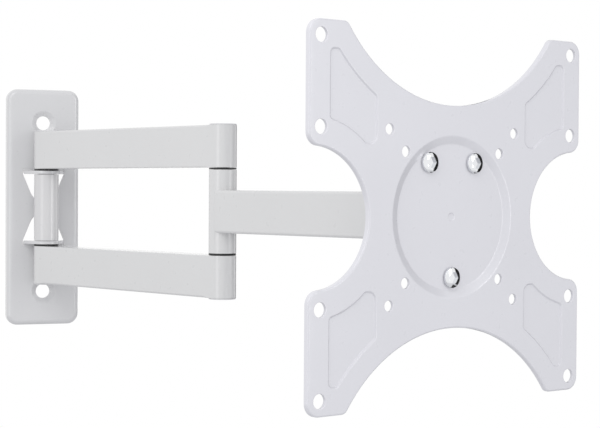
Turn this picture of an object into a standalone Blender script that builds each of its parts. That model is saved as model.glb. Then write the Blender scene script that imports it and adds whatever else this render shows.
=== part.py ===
"""Tilt and swivel television wall mount.

A pressed wall plate carries a pair of parallel links, the links carry a forearm, and the forearm carries a
swivelling and tilting head with a pressed plate for the television. Units are metres, +Z is up, the wall is
the plane Y = 0 and the television is towards -Y. The origin is the middle of the wall plate's back.
"""
import math

import bmesh
import bpy
from mathutils import Matrix, Vector

MM = 0.001

# Clearances and cutting
FIT = 0.25 * MM            # between pieces that touch, slide or are welded
CUT = 1.0 * MM             # how far a cutter runs past the face that it cuts
FINE_STEPS = 40            # sides of a large round piece
ROUND_STEPS = 24           # sides of a pivot-sized round piece
SMALL_STEPS = 16           # sides of a small hole
FILLET_STEPS = 4           # segments of a quarter-round corner
RIM_STEPS = 2              # segments of a rolled or pressed edge
PAN_RIM_STEPS = 3          # segments of the wall plate's rolled rim
ARC_STEPS = 10             # segments of a long curve
PANEL_ARC_STEPS = 4        # segments of a panel's curved sides
WELD_DISTANCE = 0.001 * MM
SHARP_ANGLE = math.radians(35)

# Pose in which the mount rests, each angle about +Z from the piece before
WALL_REST = math.radians(23.6)
ELBOW_REST = math.radians(-0.5)
HEAD_REST = math.radians(-5.5)

# Arms
LINK_LENGTH = 209.5 * MM   # wall pivot to elbow
FOREARM_LENGTH = 156.0 * MM
TUBE_HEIGHT = 29.2 * MM
TUBE_WIDTH = 19.1 * MM
TUBE_WALL = 2.0 * MM
TUBE_CORNER = 2.0 * MM
LINK_INNER = 30.2 * MM     # height of each link's inner face above or below the middle
SLEEVE_EDGE = 1.0 * MM     # rounded rim of a link's end sleeve

# Pivot hardware
BOLT_RADIUS = 4.0 * MM
BORE_RADIUS = BOLT_RADIUS + FIT
SOCKET_HEAD_RADIUS = 6.5 * MM
SOCKET_HEAD_HEIGHT = 6.5 * MM
SOCKET_DEPTH = 3.5 * MM
SOCKET_FLATS = 6.0 * MM
HEX_FLATS = 13.0 * MM
HEX_HEAD_HEIGHT = 5.3 * MM
NUT_HEIGHT = 7.5 * MM
NUT_COLLAR_HEIGHT = 2.0 * MM
NUT_COLLAR_RADIUS = 5.6 * MM
BOLT_TAIL = 1.2 * MM       # thread that shows past a nut
BUSH_FLANGE = 1.0 * MM
BUSH_FLANGE_INSET = 0.1 * MM   # how far the flange stays inside the tubes
BUSH_RADIUS = 6.2 * MM
BUSH_SLEEVE = 12.0 * MM
BUSH_END_ROOM = 0.5 * MM
KNUCKLE_BORE = 4.6 * MM
COUNTERBORE_RADIUS = 8.0 * MM
COUNTERBORE_DEPTH = 12.5 * MM
CAP_INSET = 0.2 * MM       # how far the cap's rim stays inside the sleeve's
CAP_THICKNESS = 0.6 * MM
CAP_EDGE = 0.3 * MM
CAP_SKIRT = 3.0 * MM
CAP_SKIRT_WALL = 1.0 * MM

# Wall plate
PAN_WIDTH = 57.0 * MM
PAN_HEIGHT = 186.2 * MM
PAN_DEPTH = 8.9 * MM
PAN_SHEET = 2.5 * MM
PAN_CORNER = 8.5 * MM
PAN_RIM = 4.0 * MM
PIVOT_STANDOFF = 11.7 * MM  # wall pivot's axis in front of the pan's face
EAR_FOOT = 31.6 * MM
EAR_TIP_RADIUS = 10.6 * MM
BEND_RADIUS = 1.5 * MM      # inside radius of every fold
LANCE_GAP = 0.4 * MM
WALL_HOLE_HEIGHT = 66.6 * MM
WALL_HOLE_RADIUS = 5.5 * MM
DIMPLE_RADIUS = 9.5 * MM
DIMPLE_DEPTH = 2.0 * MM
DIMPLE_BACK_GROWTH = 1.6 * MM

# Head: swivel yoke and tilt bracket
HEAD_KNUCKLE_HEIGHT = 34.0 * MM
HEAD_SHEET = 3.0 * MM
YOKE_WIDTH = 34.0 * MM
YOKE_WEB_DISTANCE = 17.0 * MM
YOKE_LEG_RADIUS = 12.0 * MM
TILT_AXIS_DISTANCE = 31.0 * MM
YOKE_EAR_RADIUS = 11.0 * MM
CHEEK_RADIUS = 12.0 * MM
BRACKET_HEIGHT = 32.0 * MM
FRICTION_WASHER = 1.2 * MM
FRICTION_WASHER_RADIUS = 9.0 * MM
SPACER_RADIUS = 6.5 * MM
MOUNT_DISC_INSET = 1.5 * MM  # from the dish's floor to the mount disc's edge
MOUNT_DISC_HOLE_RADIUS = 9.0 * MM

# Television plate
VESA_WIDE = 200.0 * MM     # hole patterns
VESA_LOW = 100.0 * MM
VESA_SMALL = 75.0 * MM
LARGE_HOLE_RADIUS = 4.2 * MM
SMALL_HOLE_RADIUS = 3.2 * MM
SIDE_MARGIN = 8.3 * MM     # from the widest pattern's holes to the plate's edge
TOP_MARGIN = 8.8 * MM
PLATE_FRONT = 57.0 * MM    # plate's front face ahead of the head's swivel axis
PLATE_SHEET = 2.0 * MM
PLATE_RIM_DEPTH = 3.5 * MM
PLATE_EDGE = 0.8 * MM
PLATE_CORNER = 8.0 * MM
PLATE_ARCH_FILLET = 5.0 * MM
WAIST_MARGIN = 17.5 * MM   # from the dish to the plate's edge at the middle of its sides
WAIST_RADIUS = 39.7 * MM
ARCH_MARGIN = 17.5 * MM    # from the dish to the plate's edge at the middle of its top and bottom
ARCH_RADIUS = 97.0 * MM
DISH_RADIUS = 47.5 * MM
DISH_WALL = 5.0 * MM       # width of the dish's sloping wall
DISH_DEPTH = 2.0 * MM
DISH_BACK_GROWTH = 0.9 * MM
PIP_RADIUS = 2.5 * MM
PIP_DEPTH = 0.4 * MM
PANEL_DEPTH = 0.8 * MM
PANEL_DRAFT = 0.8 * MM
PANEL_BACK_GROWTH = 0.7 * MM
PANEL_INNER_OFFSET = 9.3 * MM   # panel's sides measured from the nearest rows of holes
PANEL_OUTER_OFFSET = 6.2 * MM
PANEL_FOOT_OFFSET = 9.0 * MM
PANEL_HEAD_OFFSET = 6.4 * MM
PANEL_WAIST_OFFSET = 15.6 * MM
PANEL_ARCH_OFFSET = 13.7 * MM
PANEL_FILLET = 3.2 * MM
PANEL_FOOT_FILLET = 5.5 * MM

# Plate screws
SCREW_INSET = 6.5 * MM     # from the edge of the dish's floor
SCREW_RISE = 0.5 * MM      # middle of the three screws above the dish's
SCREW_ANGLES = (math.radians(60), math.radians(120), math.radians(270))
SCREW_RADIUS = 3.0 * MM
SCREW_HEAD_RADIUS = 6.0 * MM
SCREW_HEAD_HEIGHT = 2.4 * MM
SCREW_HEAD_CROWN = 1.6 * MM
SCREW_HEAD_EDGE = 0.4 * MM
SCREW_SOCKET_FLATS = 6.4 * MM
SCREW_SOCKET_DEPTH = 1.6 * MM
PLATE_NUT_FLATS = 10.0 * MM
PLATE_NUT_HEIGHT = 5.0 * MM

# Sizes that follow
PIVOT_RADIUS = TUBE_WIDTH / 2
SEAT_HEIGHT = LINK_INNER - FIT - BUSH_FLANGE - FIT
LINK_OUTER = LINK_INNER + TUBE_HEIGHT
BUSH_BORE_RADIUS = BUSH_RADIUS + FIT
WALL_PIVOT_Y = -(PAN_DEPTH + PIVOT_STANDOFF)
HEAD_SEAT = HEAD_KNUCKLE_HEIGHT / 2
LEG_INNER = HEAD_SEAT + FIT + BUSH_FLANGE + FIT
LEG_OUTER = LEG_INNER + HEAD_SHEET
YOKE_WEB_FRONT = YOKE_WEB_DISTANCE + HEAD_SHEET
CHEEK_INNER = YOKE_WIDTH / 2 + FIT + FRICTION_WASHER + FIT
CHEEK_OUTER = CHEEK_INNER + HEAD_SHEET
PLATE_Y = -(PLATE_FRONT - TILT_AXIS_DISTANCE)   # front face in the tilt frame
DISH_FLOOR_Y = PLATE_Y + DISH_DEPTH
DISH_BACK_Y = DISH_FLOOR_Y + PLATE_SHEET
MOUNT_DISC_Y = DISH_BACK_Y + FIT
BRACKET_WEB_Y = MOUNT_DISC_Y + HEAD_SHEET + FIT
DISH_FLOOR_RADIUS = DISH_RADIUS - DISH_WALL
MOUNT_DISC_RADIUS = DISH_FLOOR_RADIUS - MOUNT_DISC_INSET
SCREW_CIRCLE = DISH_FLOOR_RADIUS - SCREW_INSET
PLATE_WIDTH = VESA_WIDE + 2 * SIDE_MARGIN
PLATE_HEIGHT = VESA_WIDE + 2 * TOP_MARGIN
WAIST_CENTRE = DISH_RADIUS + WAIST_MARGIN + WAIST_RADIUS
ARCH_CENTRE = DISH_RADIUS + ARCH_MARGIN + ARCH_RADIUS
PANEL_INNER = VESA_LOW / 2 + PANEL_INNER_OFFSET
PANEL_OUTER = VESA_WIDE / 2 - PANEL_OUTER_OFFSET
PANEL_FOOT = VESA_LOW / 2 - PANEL_FOOT_OFFSET
PANEL_HEAD = VESA_WIDE / 2 - PANEL_HEAD_OFFSET

WHITE = (0.74, 0.74, 0.76)
BLACK = (0.015, 0.015, 0.016)
ZINC = (0.62, 0.62, 0.60)
CHROME = (0.80, 0.80, 0.82)


def clear_scene():
    for item in list(bpy.data.objects):
        bpy.data.objects.remove(item, do_unlink=True)


def collection(name):
    made = bpy.data.collections.new(name)
    bpy.context.scene.collection.children.link(made)
    return made


def material(name, colour, roughness, metallic):
    made = bpy.data.materials.new(name)
    made.use_nodes = True
    shader = made.node_tree.nodes["Principled BSDF"]
    shader.inputs["Base Color"].default_value = (*colour, 1)
    shader.inputs["Roughness"].default_value = roughness
    shader.inputs["Metallic"].default_value = metallic
    made.diffuse_color = (*colour, 1)
    return made


clear_scene()
PARTS = collection("tv_wall_mount")
CUTTERS = collection("cutters")
PAINT = material("white powder coat", WHITE, 0.35, 0)
NYLON = material("black nylon", BLACK, 0.5, 0)
CAP_PLASTIC = material("white plastic", WHITE, 0.45, 0)
STEEL = material("zinc plated steel", ZINC, 0.35, 1)
BRIGHT = material("chromed steel", CHROME, 0.12, 1)


# Outlines, as lists of (across, up) points

def arc(centre, radius, start, end, steps):
    """Points on a circle from one angle to another, both ends included."""
    return [(centre[0] + radius * math.cos(start + (end - start) * i / steps),
             centre[1] + radius * math.sin(start + (end - start) * i / steps)) for i in range(steps + 1)]


def rounded(corners, steps=FILLET_STEPS):
    """A closed outline from (across, up, radius) corners, each corner replaced by a tangent arc."""
    points = []
    for i, (x, z, radius) in enumerate(corners):
        here = Vector((x, z))
        if radius == 0:
            points.append((x, z))
            continue
        before = (Vector(corners[i - 1][:2]) - here).normalized()
        after = (Vector(corners[(i + 1) % len(corners)][:2]) - here).normalized()
        half = before.angle(after) / 2
        centre = here + (before + after).normalized() * (radius / math.sin(half))
        first = here + before * (radius / math.tan(half)) - centre
        turn = first.angle_signed(here + after * (radius / math.tan(half)) - centre)
        start = math.atan2(first.y, first.x)
        points += arc(centre, radius, start, start - turn, steps)
    return points


def rectangle(width, height, radius):
    x, z = width / 2, height / 2
    return rounded([(-x, -z, radius), (x, -z, radius), (x, z, radius), (-x, z, radius)])


def four_quarters(quarter):
    """The whole outline from its upper right quarter, which runs from the right side to the top."""
    half = quarter + [(-x, z) for x, z in reversed(quarter) if x > 0]
    return half + [(x, -z) for x, z in reversed(half) if z > 0]


# Solids

def place(item, frame, location=(0, 0, 0), rotation=(0, 0, 0)):
    item.parent = frame
    item.location = location
    item.rotation_euler = rotation
    return item


def finish(item, frame, finish_material):
    """Makes an object one of the named parts."""
    item.data.materials.clear()
    item.data.materials.append(finish_material)
    if frame:
        item.parent = frame
    for owner in list(item.users_collection):
        owner.objects.unlink(item)
    PARTS.objects.link(item)
    item.data.shade_smooth()
    item.data.set_sharp_from_angle(angle=SHARP_ANGLE)
    shading = item.modifiers.new("Even shading", "WEIGHTED_NORMAL")
    shading.keep_sharp = True
    return item


def mesh_object(name, bm):
    mesh = bpy.data.meshes.new(name)
    bmesh.ops.recalc_face_normals(bm, faces=bm.faces)
    bm.to_mesh(mesh)
    bm.free()
    item = bpy.data.objects.new(name, mesh)
    CUTTERS.objects.link(item)
    return item


def transform(item, matrix):
    item.data.transform(matrix)
    item.data.update()
    return item


# The plane that an outline is drawn in, and the way that it is thickened
FACING = {
    "y": Matrix.Rotation(math.pi / 2, 4, "X"),                                     # drawn in X and Z, front at -Y
    "z": Matrix.Identity(4),                                                       # drawn in X and Y
    "x": Matrix.Rotation(math.pi / 2, 4, "Z") @ Matrix.Rotation(math.pi / 2, 4, "X"),  # drawn in Y and Z
}


def slab(name, outlines, start, end, facing="y"):
    """Outlines filled and thickened from one coordinate to another along the facing axis."""
    curve = bpy.data.curves.new(name, "CURVE")
    curve.dimensions = "2D"
    curve.fill_mode = "BOTH"
    curve.extrude = abs(end - start) / 2
    for outline in outlines:
        spline = curve.splines.new("POLY")
        spline.points.add(len(outline) - 1)
        for point, (x, y) in zip(spline.points, outline):
            point.co = (x, y, 0, 1)
        spline.use_cyclic_u = True
    drawn = bpy.data.objects.new(name + "_outline", curve)
    CUTTERS.objects.link(drawn)
    bpy.context.view_layer.update()
    mesh = bpy.data.meshes.new_from_object(drawn.evaluated_get(bpy.context.evaluated_depsgraph_get()))
    bpy.data.objects.remove(drawn, do_unlink=True)
    bm = bmesh.new()
    bm.from_mesh(mesh)
    bmesh.ops.remove_doubles(bm, verts=bm.verts, dist=WELD_DISTANCE)
    bmesh.ops.dissolve_limit(bm, angle_limit=math.radians(1), verts=bm.verts, edges=bm.edges, delimit={"NORMAL"})
    item = mesh_object(name, bm)
    middle = Vector((0, 0, 0))
    middle["xyz".index(facing)] = (start + end) / 2
    return transform(item, Matrix.Translation(middle) @ FACING[facing])


def round_edges(item, chosen, radius, segments):
    """Rounds the edges for which chosen(edge) is true."""
    bm = bmesh.new()
    bm.from_mesh(item.data)
    edges = [edge for edge in bm.edges if chosen(edge)]
    bmesh.ops.bevel(bm, geom=edges, offset=radius, segments=segments, profile=0.5, affect="EDGES")
    bm.to_mesh(item.data)
    bm.free()
    return item


def on_plane(axis, value):
    """A test for edges that lie in the plane where one coordinate has a given value."""
    return lambda edge: all(abs(corner.co[axis] - value) < WELD_DISTANCE for corner in edge.verts)


def turned(name, profile, steps, closed):
    """A profile of (radius, height) points turned about Z; a closed profile makes a ring or a tube."""
    bm = bmesh.new()
    corners = [bm.verts.new((radius, 0, height)) for radius, height in profile]
    for first, second in zip(corners, corners[1:]):
        bm.edges.new((first, second))
    if closed:
        bm.edges.new((corners[-1], corners[0]))
    mesh = bpy.data.meshes.new(name)
    bm.to_mesh(mesh)
    bm.free()
    item = bpy.data.objects.new(name, mesh)
    CUTTERS.objects.link(item)
    screw = item.modifiers.new("Turn", "SCREW")
    screw.axis = "Z"
    screw.steps = steps
    screw.render_steps = steps
    screw.use_merge_vertices = True
    screw.merge_threshold = WELD_DISTANCE
    screw.use_normal_calculate = False
    return item


def cylinder(name, radius, start, end, steps, axis="Z", centre=(0, 0, 0), far_radius=None):
    """A closed cylinder or cone between two coordinates on its axis; the far radius is at the end."""
    bm = bmesh.new()
    bmesh.ops.create_cone(bm, cap_ends=True, segments=steps, radius1=radius,
                          radius2=radius if far_radius is None else far_radius, depth=end - start)
    bmesh.ops.translate(bm, verts=bm.verts, vec=(0, 0, (start + end) / 2))
    turn = {"Z": Matrix.Identity(4), "Y": Matrix.Rotation(-math.pi / 2, 4, "X"),
            "X": Matrix.Rotation(math.pi / 2, 4, "Y")}[axis]
    bmesh.ops.transform(bm, matrix=Matrix.Translation(centre) @ turn, verts=bm.verts)
    return mesh_object(name, bm)


def hexagon(name, flats, start, end):
    """A hexagonal prism about Z."""
    return cylinder(name, flats / math.sqrt(3), start, end, 6)


def joined(name, items):
    """Separate closed shapes gathered in one object, to cut or add together."""
    bm = bmesh.new()
    for item in items:
        bm.from_mesh(item.data)
        bpy.data.objects.remove(item, do_unlink=True)
    return mesh_object(name, bm)


def combine(item, operation, tool):
    """Cuts, adds or intersects with a tool, which stays in the scene as a hidden wire."""
    tool.hide_render = True
    tool.display_type = "WIRE"
    tool.parent = item
    change = item.modifiers.new(tool.name, "BOOLEAN")
    change.operation = operation
    change.object = tool
    return item


def cut(item, tool):
    return combine(item, "DIFFERENCE", tool)


def add(item, tool):
    return combine(item, "UNION", tool)


def trim(item, tool):
    return combine(item, "INTERSECT", tool)


# Frames, each with its origin on a joint's axis and the arm running along its -Y

def frame(name, parent, location, rotation):
    made = bpy.data.objects.new(name, None)
    PARTS.objects.link(made)
    return place(made, parent, location, rotation)


WALL = frame("wall_frame", None, (0, 0, 0), (0, 0, 0))
LINKS = frame("wall_swivel_frame", WALL, (0, WALL_PIVOT_Y, 0), (0, 0, WALL_REST))
FOREARM = frame("elbow_frame", LINKS, (0, -LINK_LENGTH, 0), (0, 0, ELBOW_REST))
YOKE = frame("head_swivel_frame", FOREARM, (0, -FOREARM_LENGTH, 0), (0, 0, HEAD_REST))
HEAD = frame("tilt_frame", YOKE, (0, -TILT_AXIS_DISTANCE, 0), (0, 0, 0))


# Wall plate

def ear_outline(grow):
    """The lanced tongue laid flat: across, and down the tongue from the start of its fold."""
    foot = EAR_FOOT / 2 + grow
    radius = EAR_TIP_RADIUS + grow
    fold = ear_fold_length()
    centre = fold + PIVOT_STANDOFF - BEND_RADIUS
    reach = math.hypot(foot, centre - fold)
    tangent = math.acos(radius / reach) - math.atan2(centre - fold, foot)
    tip = arc((0, centre), radius, tangent, math.pi - tangent, ARC_STEPS)
    return [(foot, 0), (foot, fold)] + tip + [(-foot, fold), (-foot, 0)]


def ear_fold_length():
    """Length of sheet that the fold takes up, along its middle."""
    return (BEND_RADIUS + PAN_SHEET / 2) * math.pi / 2


def ear(side):
    """One tongue, drawn flat in the pan's face and folded out through a quarter turn."""
    root = CUT
    fold = ear_fold_length()
    start = SEAT_HEIGHT + BEND_RADIUS
    outline = ear_outline(0)
    outline[0] = (outline[0][0], -root)
    outline[-1] = (outline[-1][0], -root)
    item = slab("ear_sheet", [outline], 0, PAN_SHEET, "z")
    bm = bmesh.new()
    bm.from_mesh(item.data)
    bpy.data.objects.remove(item, do_unlink=True)
    for i in range(FILLET_STEPS + 1):
        bmesh.ops.bisect_plane(bm, geom=list(bm.verts) + list(bm.edges) + list(bm.faces), dist=WELD_DISTANCE,
                               plane_co=(0, fold * i / FILLET_STEPS, 0), plane_no=(0, 1, 0))
    for corner in bm.verts:
        across, down, depth = corner.co
        turn = min(max(down, 0), fold) / fold * math.pi / 2
        radius = BEND_RADIUS + depth
        y = -PAN_DEPTH - BEND_RADIUS + radius * math.cos(turn) - max(down - fold, 0)
        z = start - radius * math.sin(turn) - min(down, 0)
        corner.co = (across, y, z * side)
    return mesh_object("ear", bm)


def wall_plate():
    outer = rectangle(PAN_WIDTH, PAN_HEIGHT, PAN_CORNER)
    inner = rectangle(PAN_WIDTH - 2 * PAN_SHEET, PAN_HEIGHT - 2 * PAN_SHEET, PAN_CORNER - PAN_SHEET)
    plate = slab("wall_plate", [outer], -PAN_DEPTH, 0)
    round_edges(plate, on_plane(1, -PAN_DEPTH), PAN_RIM, PAN_RIM_STEPS)
    hollow = slab("pan_hollow", [inner], -PAN_DEPTH + PAN_SHEET, CUT)
    round_edges(hollow, on_plane(1, -PAN_DEPTH + PAN_SHEET), PAN_RIM - PAN_SHEET, RIM_STEPS)
    cut(plate, hollow)
    floor = -PAN_DEPTH + PAN_SHEET
    heights = (WALL_HOLE_HEIGHT, -WALL_HOLE_HEIGHT)
    foot = DIMPLE_RADIUS + DIMPLE_BACK_GROWTH
    lip = WALL_HOLE_RADIUS + DIMPLE_BACK_GROWTH + PAN_SHEET / 2
    add(plate, joined("dimple_backs", [cylinder("back", foot, floor - CUT, floor + DIMPLE_DEPTH, ROUND_STEPS, "Y",
                                                (0, 0, z), lip) for z in heights]))
    fold_start = SEAT_HEIGHT + BEND_RADIUS
    opening = [(x, fold_start - down) for x, down in ear_outline(LANCE_GAP)]
    cut(plate, joined("lances", [slab("lance", [[(x, side * z) for x, z in opening]], -PAN_DEPTH - CUT,
                                      floor + CUT) for side in (1, -1)]))
    add(plate, joined("ears", [ear(1), ear(-1)]))
    slope = (DIMPLE_RADIUS - WALL_HOLE_RADIUS) / DIMPLE_DEPTH
    cut(plate, joined("dimples", [cylinder("dimple", DIMPLE_RADIUS + slope * CUT, -PAN_DEPTH - CUT,
                                           -PAN_DEPTH + DIMPLE_DEPTH, ROUND_STEPS, "Y", (0, 0, z),
                                           WALL_HOLE_RADIUS) for z in heights]))
    cut(plate, joined("wall_holes", [cylinder("hole", WALL_HOLE_RADIUS, -PAN_DEPTH - CUT, CUT, ROUND_STEPS, "Y",
                                              (0, 0, z)) for z in heights]))
    cut(plate, cylinder("ear_bores", BUSH_BORE_RADIUS, -LINK_INNER, LINK_INNER, ROUND_STEPS,
                        centre=(0, WALL_PIVOT_Y, 0)))
    return finish(plate, WALL, PAINT)


# Tubes, knuckles and pivot hardware

def knuckle(name, half, seat, parent, location):
    """A round tube bored out at both ends for the sleeves of bushes that lie on the seat."""
    step = seat + FIT - BUSH_SLEEVE - BUSH_END_ROOM
    profile = [(BUSH_BORE_RADIUS, half), (PIVOT_RADIUS, half), (PIVOT_RADIUS, -half), (BUSH_BORE_RADIUS, -half),
               (BUSH_BORE_RADIUS, -step), (KNUCKLE_BORE, -step), (KNUCKLE_BORE, step), (BUSH_BORE_RADIUS, step)]
    return finish(place(turned(name, profile, ROUND_STEPS, True), parent, location), parent, PAINT)


def bush(name, seat, side, parent, location=(0, 0, 0)):
    """A flanged bush whose flange lies on the seat above or below the middle."""
    flange = PIVOT_RADIUS - BUSH_FLANGE_INSET
    profile = [(BORE_RADIUS, BUSH_FLANGE), (flange, BUSH_FLANGE), (flange, 0), (BUSH_RADIUS, 0),
               (BUSH_RADIUS, -BUSH_SLEEVE), (BORE_RADIUS, -BUSH_SLEEVE)]
    item = turned(name, profile, ROUND_STEPS, True)
    turn = (0, 0, 0) if side > 0 else (math.pi, 0, 0)
    place(item, parent, Vector(location) + Vector((0, 0, side * (seat + FIT))), turn)
    return finish(item, parent, NYLON)


def link_sleeve(name, side, y):
    """The round end of a link, bored for the bolt and counterbored for its head or nut."""
    inner, outer = LINK_INNER, LINK_OUTER
    floor = outer - COUNTERBORE_DEPTH
    rim = arc((PIVOT_RADIUS - SLEEVE_EDGE, outer - SLEEVE_EDGE), SLEEVE_EDGE, math.pi / 2, 0, RIM_STEPS)
    profile = [(COUNTERBORE_RADIUS, outer)] + rim + [(PIVOT_RADIUS, inner), (BORE_RADIUS, inner),
                                                     (BORE_RADIUS, floor), (COUNTERBORE_RADIUS, floor)]
    item = turned(name, profile, ROUND_STEPS, True)
    place(item, LINKS, (0, y, 0), (0, 0, 0) if side > 0 else (math.pi, 0, 0))
    return finish(item, LINKS, PAINT)


def arm_tube(name, length, middle, parent):
    """A rectangular tube along -Y, hollowed at both ends to fit round the knuckles that it is welded to."""
    outer = [(x, z + middle) for x, z in rectangle(TUBE_WIDTH, TUBE_HEIGHT, TUBE_CORNER)]
    inner = [(x, z + middle) for x, z in rectangle(TUBE_WIDTH - 2 * TUBE_WALL, TUBE_HEIGHT - 2 * TUBE_WALL,
                                                   TUBE_CORNER / 2)]
    tube = slab(name, [outer, inner], -length, 0)
    half = TUBE_HEIGHT / 2 + CUT
    ends = [cylinder("cope", PIVOT_RADIUS + FIT, middle - half, middle + half, ROUND_STEPS, centre=(0, y, 0))
            for y in (0, -length)]
    cut(tube, joined(name + "_copes", ends))
    return finish(tube, parent, PAINT)


def socket_bolt(name, head_seat, tail, parent, location):
    """A round-headed bolt with a hexagonal socket, its head at the top."""
    head = head_seat + SOCKET_HEAD_HEIGHT
    profile = [(0, head), (SOCKET_HEAD_RADIUS, head), (SOCKET_HEAD_RADIUS, head_seat), (BOLT_RADIUS, head_seat),
               (BOLT_RADIUS, tail), (0, tail)]
    bolt = turned(name, profile, ROUND_STEPS, False)
    cut(bolt, hexagon(name + "_socket", SOCKET_FLATS, head - SOCKET_DEPTH, head + CUT))
    place(bolt, parent, location)
    return finish(bolt, parent, STEEL)


def hex_bolt(name, head_seat, tail, parent, location, rotation=(0, 0, 0)):
    """A hexagon-headed bolt about Z with its head at the top."""
    bolt = hexagon(name, HEX_FLATS, head_seat, head_seat + HEX_HEAD_HEIGHT)
    add(bolt, cylinder(name + "_shank", BOLT_RADIUS, tail, head_seat + CUT, SMALL_STEPS))
    place(bolt, parent, location, rotation)
    return finish(bolt, parent, STEEL)


def lock_nut(name, seat, parent, location, rotation=(0, 0, 0)):
    """A hexagon nut about Z with a round locking collar, hanging below its seat."""
    body = NUT_HEIGHT - NUT_COLLAR_HEIGHT
    nut = hexagon(name, HEX_FLATS, seat - body, seat)
    add(nut, cylinder(name + "_collar", NUT_COLLAR_RADIUS, seat - NUT_HEIGHT, seat - body + CUT, ROUND_STEPS))
    cut(nut, cylinder(name + "_bore", BORE_RADIUS, seat - NUT_HEIGHT - CUT, seat + CUT, SMALL_STEPS))
    place(nut, parent, location, rotation)
    return finish(nut, parent, STEEL)


def link_cap(name, side, y):
    """A cover whose skirt plugs a sleeve's counterbore and whose rim lies on the sleeve's end."""
    rim = PIVOT_RADIUS - CAP_INSET
    skirt = COUNTERBORE_RADIUS - FIT
    hollow = skirt - CAP_SKIRT_WALL
    seat = LINK_OUTER + FIT
    top = seat + CAP_THICKNESS
    end = seat - CAP_SKIRT
    profile = [(0, top), (rim - CAP_EDGE, top), (rim, top - CAP_EDGE), (rim, seat), (skirt, seat), (skirt, end),
               (hollow, end), (hollow, seat), (0, seat)]
    cap = turned(name, profile, ROUND_STEPS, False)
    place(cap, LINKS, (0, y, 0), (0, 0, 0) if side > 0 else (math.pi, 0, 0))
    return finish(cap, LINKS, CAP_PLASTIC)


def links():
    for word, side in (("upper", 1), ("lower", -1)):
        arm_tube(f"link_{word}_tube", LINK_LENGTH, side * (LINK_INNER + LINK_OUTER) / 2, LINKS)
        for end, y in (("wall", 0), ("elbow", -LINK_LENGTH)):
            link_sleeve(f"link_{word}_{end}_sleeve", side, y)
            link_cap(f"link_{word}_{end}_cap", side, y)
    seat = LINK_OUTER - COUNTERBORE_DEPTH + FIT
    for end, y in (("wall", 0), ("elbow", -LINK_LENGTH)):
        socket_bolt(f"{end}_pivot_bolt", seat, -seat - NUT_HEIGHT - BOLT_TAIL / 2, LINKS, (0, y, 0))
        lock_nut(f"{end}_pivot_nut", -seat, LINKS, (0, y, 0))


def forearm():
    knuckle("elbow_knuckle", SEAT_HEIGHT, SEAT_HEIGHT, FOREARM, (0, 0, 0))
    arm_tube("forearm_tube", FOREARM_LENGTH, 0, FOREARM)
    knuckle("head_knuckle", HEAD_SEAT, HEAD_SEAT, FOREARM, (0, -FOREARM_LENGTH, 0))
    for word, side in (("upper", 1), ("lower", -1)):
        bush(f"elbow_bush_{word}", SEAT_HEIGHT, side, FOREARM)
        bush(f"head_bush_{word}", HEAD_SEAT, side, FOREARM, (0, -FOREARM_LENGTH, 0))


# Head

def channel_outline(across, back, reach):
    """The section of a U of sheet: a web whose outside is at back, and two legs that end at reach."""
    way = 1 if reach > back else -1
    inside = across - HEAD_SHEET
    outer_radius = BEND_RADIUS + HEAD_SHEET
    web_inside = back + way * HEAD_SHEET
    return rounded([(-across, reach, 0), (-across, back, outer_radius), (across, back, outer_radius),
                    (across, reach, 0), (inside, reach, 0), (inside, web_inside, BEND_RADIUS),
                    (-inside, web_inside, BEND_RADIUS), (-inside, reach, 0)])


def strip_outline(root, radius, centre):
    """A strip of sheet from its root to a round end about the centre."""
    way = 1 if centre > root else -1
    tip = arc((0, 0), radius, -math.pi / 2, math.pi / 2, 2 * FILLET_STEPS)
    return [(root, -radius)] + [(centre + way * along, across) for along, across in tip] + [(root, radius)]


def swapped(outline):
    return [(second, first) for first, second in outline]


def yoke():
    """Legs folded back over the head knuckle and ears folded forward to the tilt bolt, in one sheet."""
    half = YOKE_WIDTH / 2
    width = YOKE_LEG_RADIUS + CUT
    height = YOKE_EAR_RADIUS + CUT
    legs = swapped(channel_outline(LEG_OUTER, -YOKE_WEB_FRONT, width))
    sheet = slab("swivel_yoke", [legs], -width, width, "x")
    plan = swapped(strip_outline(-YOKE_WEB_FRONT - CUT, YOKE_LEG_RADIUS, 0))
    trim(sheet, slab("yoke_plan", [plan], -LEG_OUTER - CUT, LEG_OUTER + CUT, "z"))
    ears = slab("yoke_ears", [channel_outline(half, -YOKE_WEB_DISTANCE, -TILT_AXIS_DISTANCE - height)],
                -height, height, "z")
    side = strip_outline(-YOKE_WEB_DISTANCE + CUT, YOKE_EAR_RADIUS, -TILT_AXIS_DISTANCE)
    trim(ears, slab("yoke_side", [side], -half - CUT, half + CUT, "x"))
    add(sheet, ears)
    cut(sheet, cylinder("yoke_swivel_bore", BORE_RADIUS, -LEG_OUTER - CUT, LEG_OUTER + CUT, SMALL_STEPS))
    cut(sheet, cylinder("yoke_tilt_bore", BORE_RADIUS, -half - CUT, half + CUT, SMALL_STEPS, "X",
                        (0, -TILT_AXIS_DISTANCE, 0)))
    return finish(sheet, YOKE, PAINT)


def swivel_head():
    yoke()
    hex_bolt("head_pivot_bolt", LEG_OUTER + FIT, -LEG_OUTER - FIT - NUT_HEIGHT - BOLT_TAIL, YOKE, (0, 0, 0))
    lock_nut("head_pivot_nut", -LEG_OUTER - FIT, YOKE, (0, 0, 0))
    reach = YOKE_WIDTH / 2 - HEAD_SHEET - FIT
    spacer = turned("tilt_spacer", [(BORE_RADIUS, reach), (SPACER_RADIUS, reach), (SPACER_RADIUS, -reach),
                                    (BORE_RADIUS, -reach)], SMALL_STEPS, True)
    place(spacer, YOKE, (0, -TILT_AXIS_DISTANCE, 0), (0, math.pi / 2, 0))
    finish(spacer, YOKE, STEEL)


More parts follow.
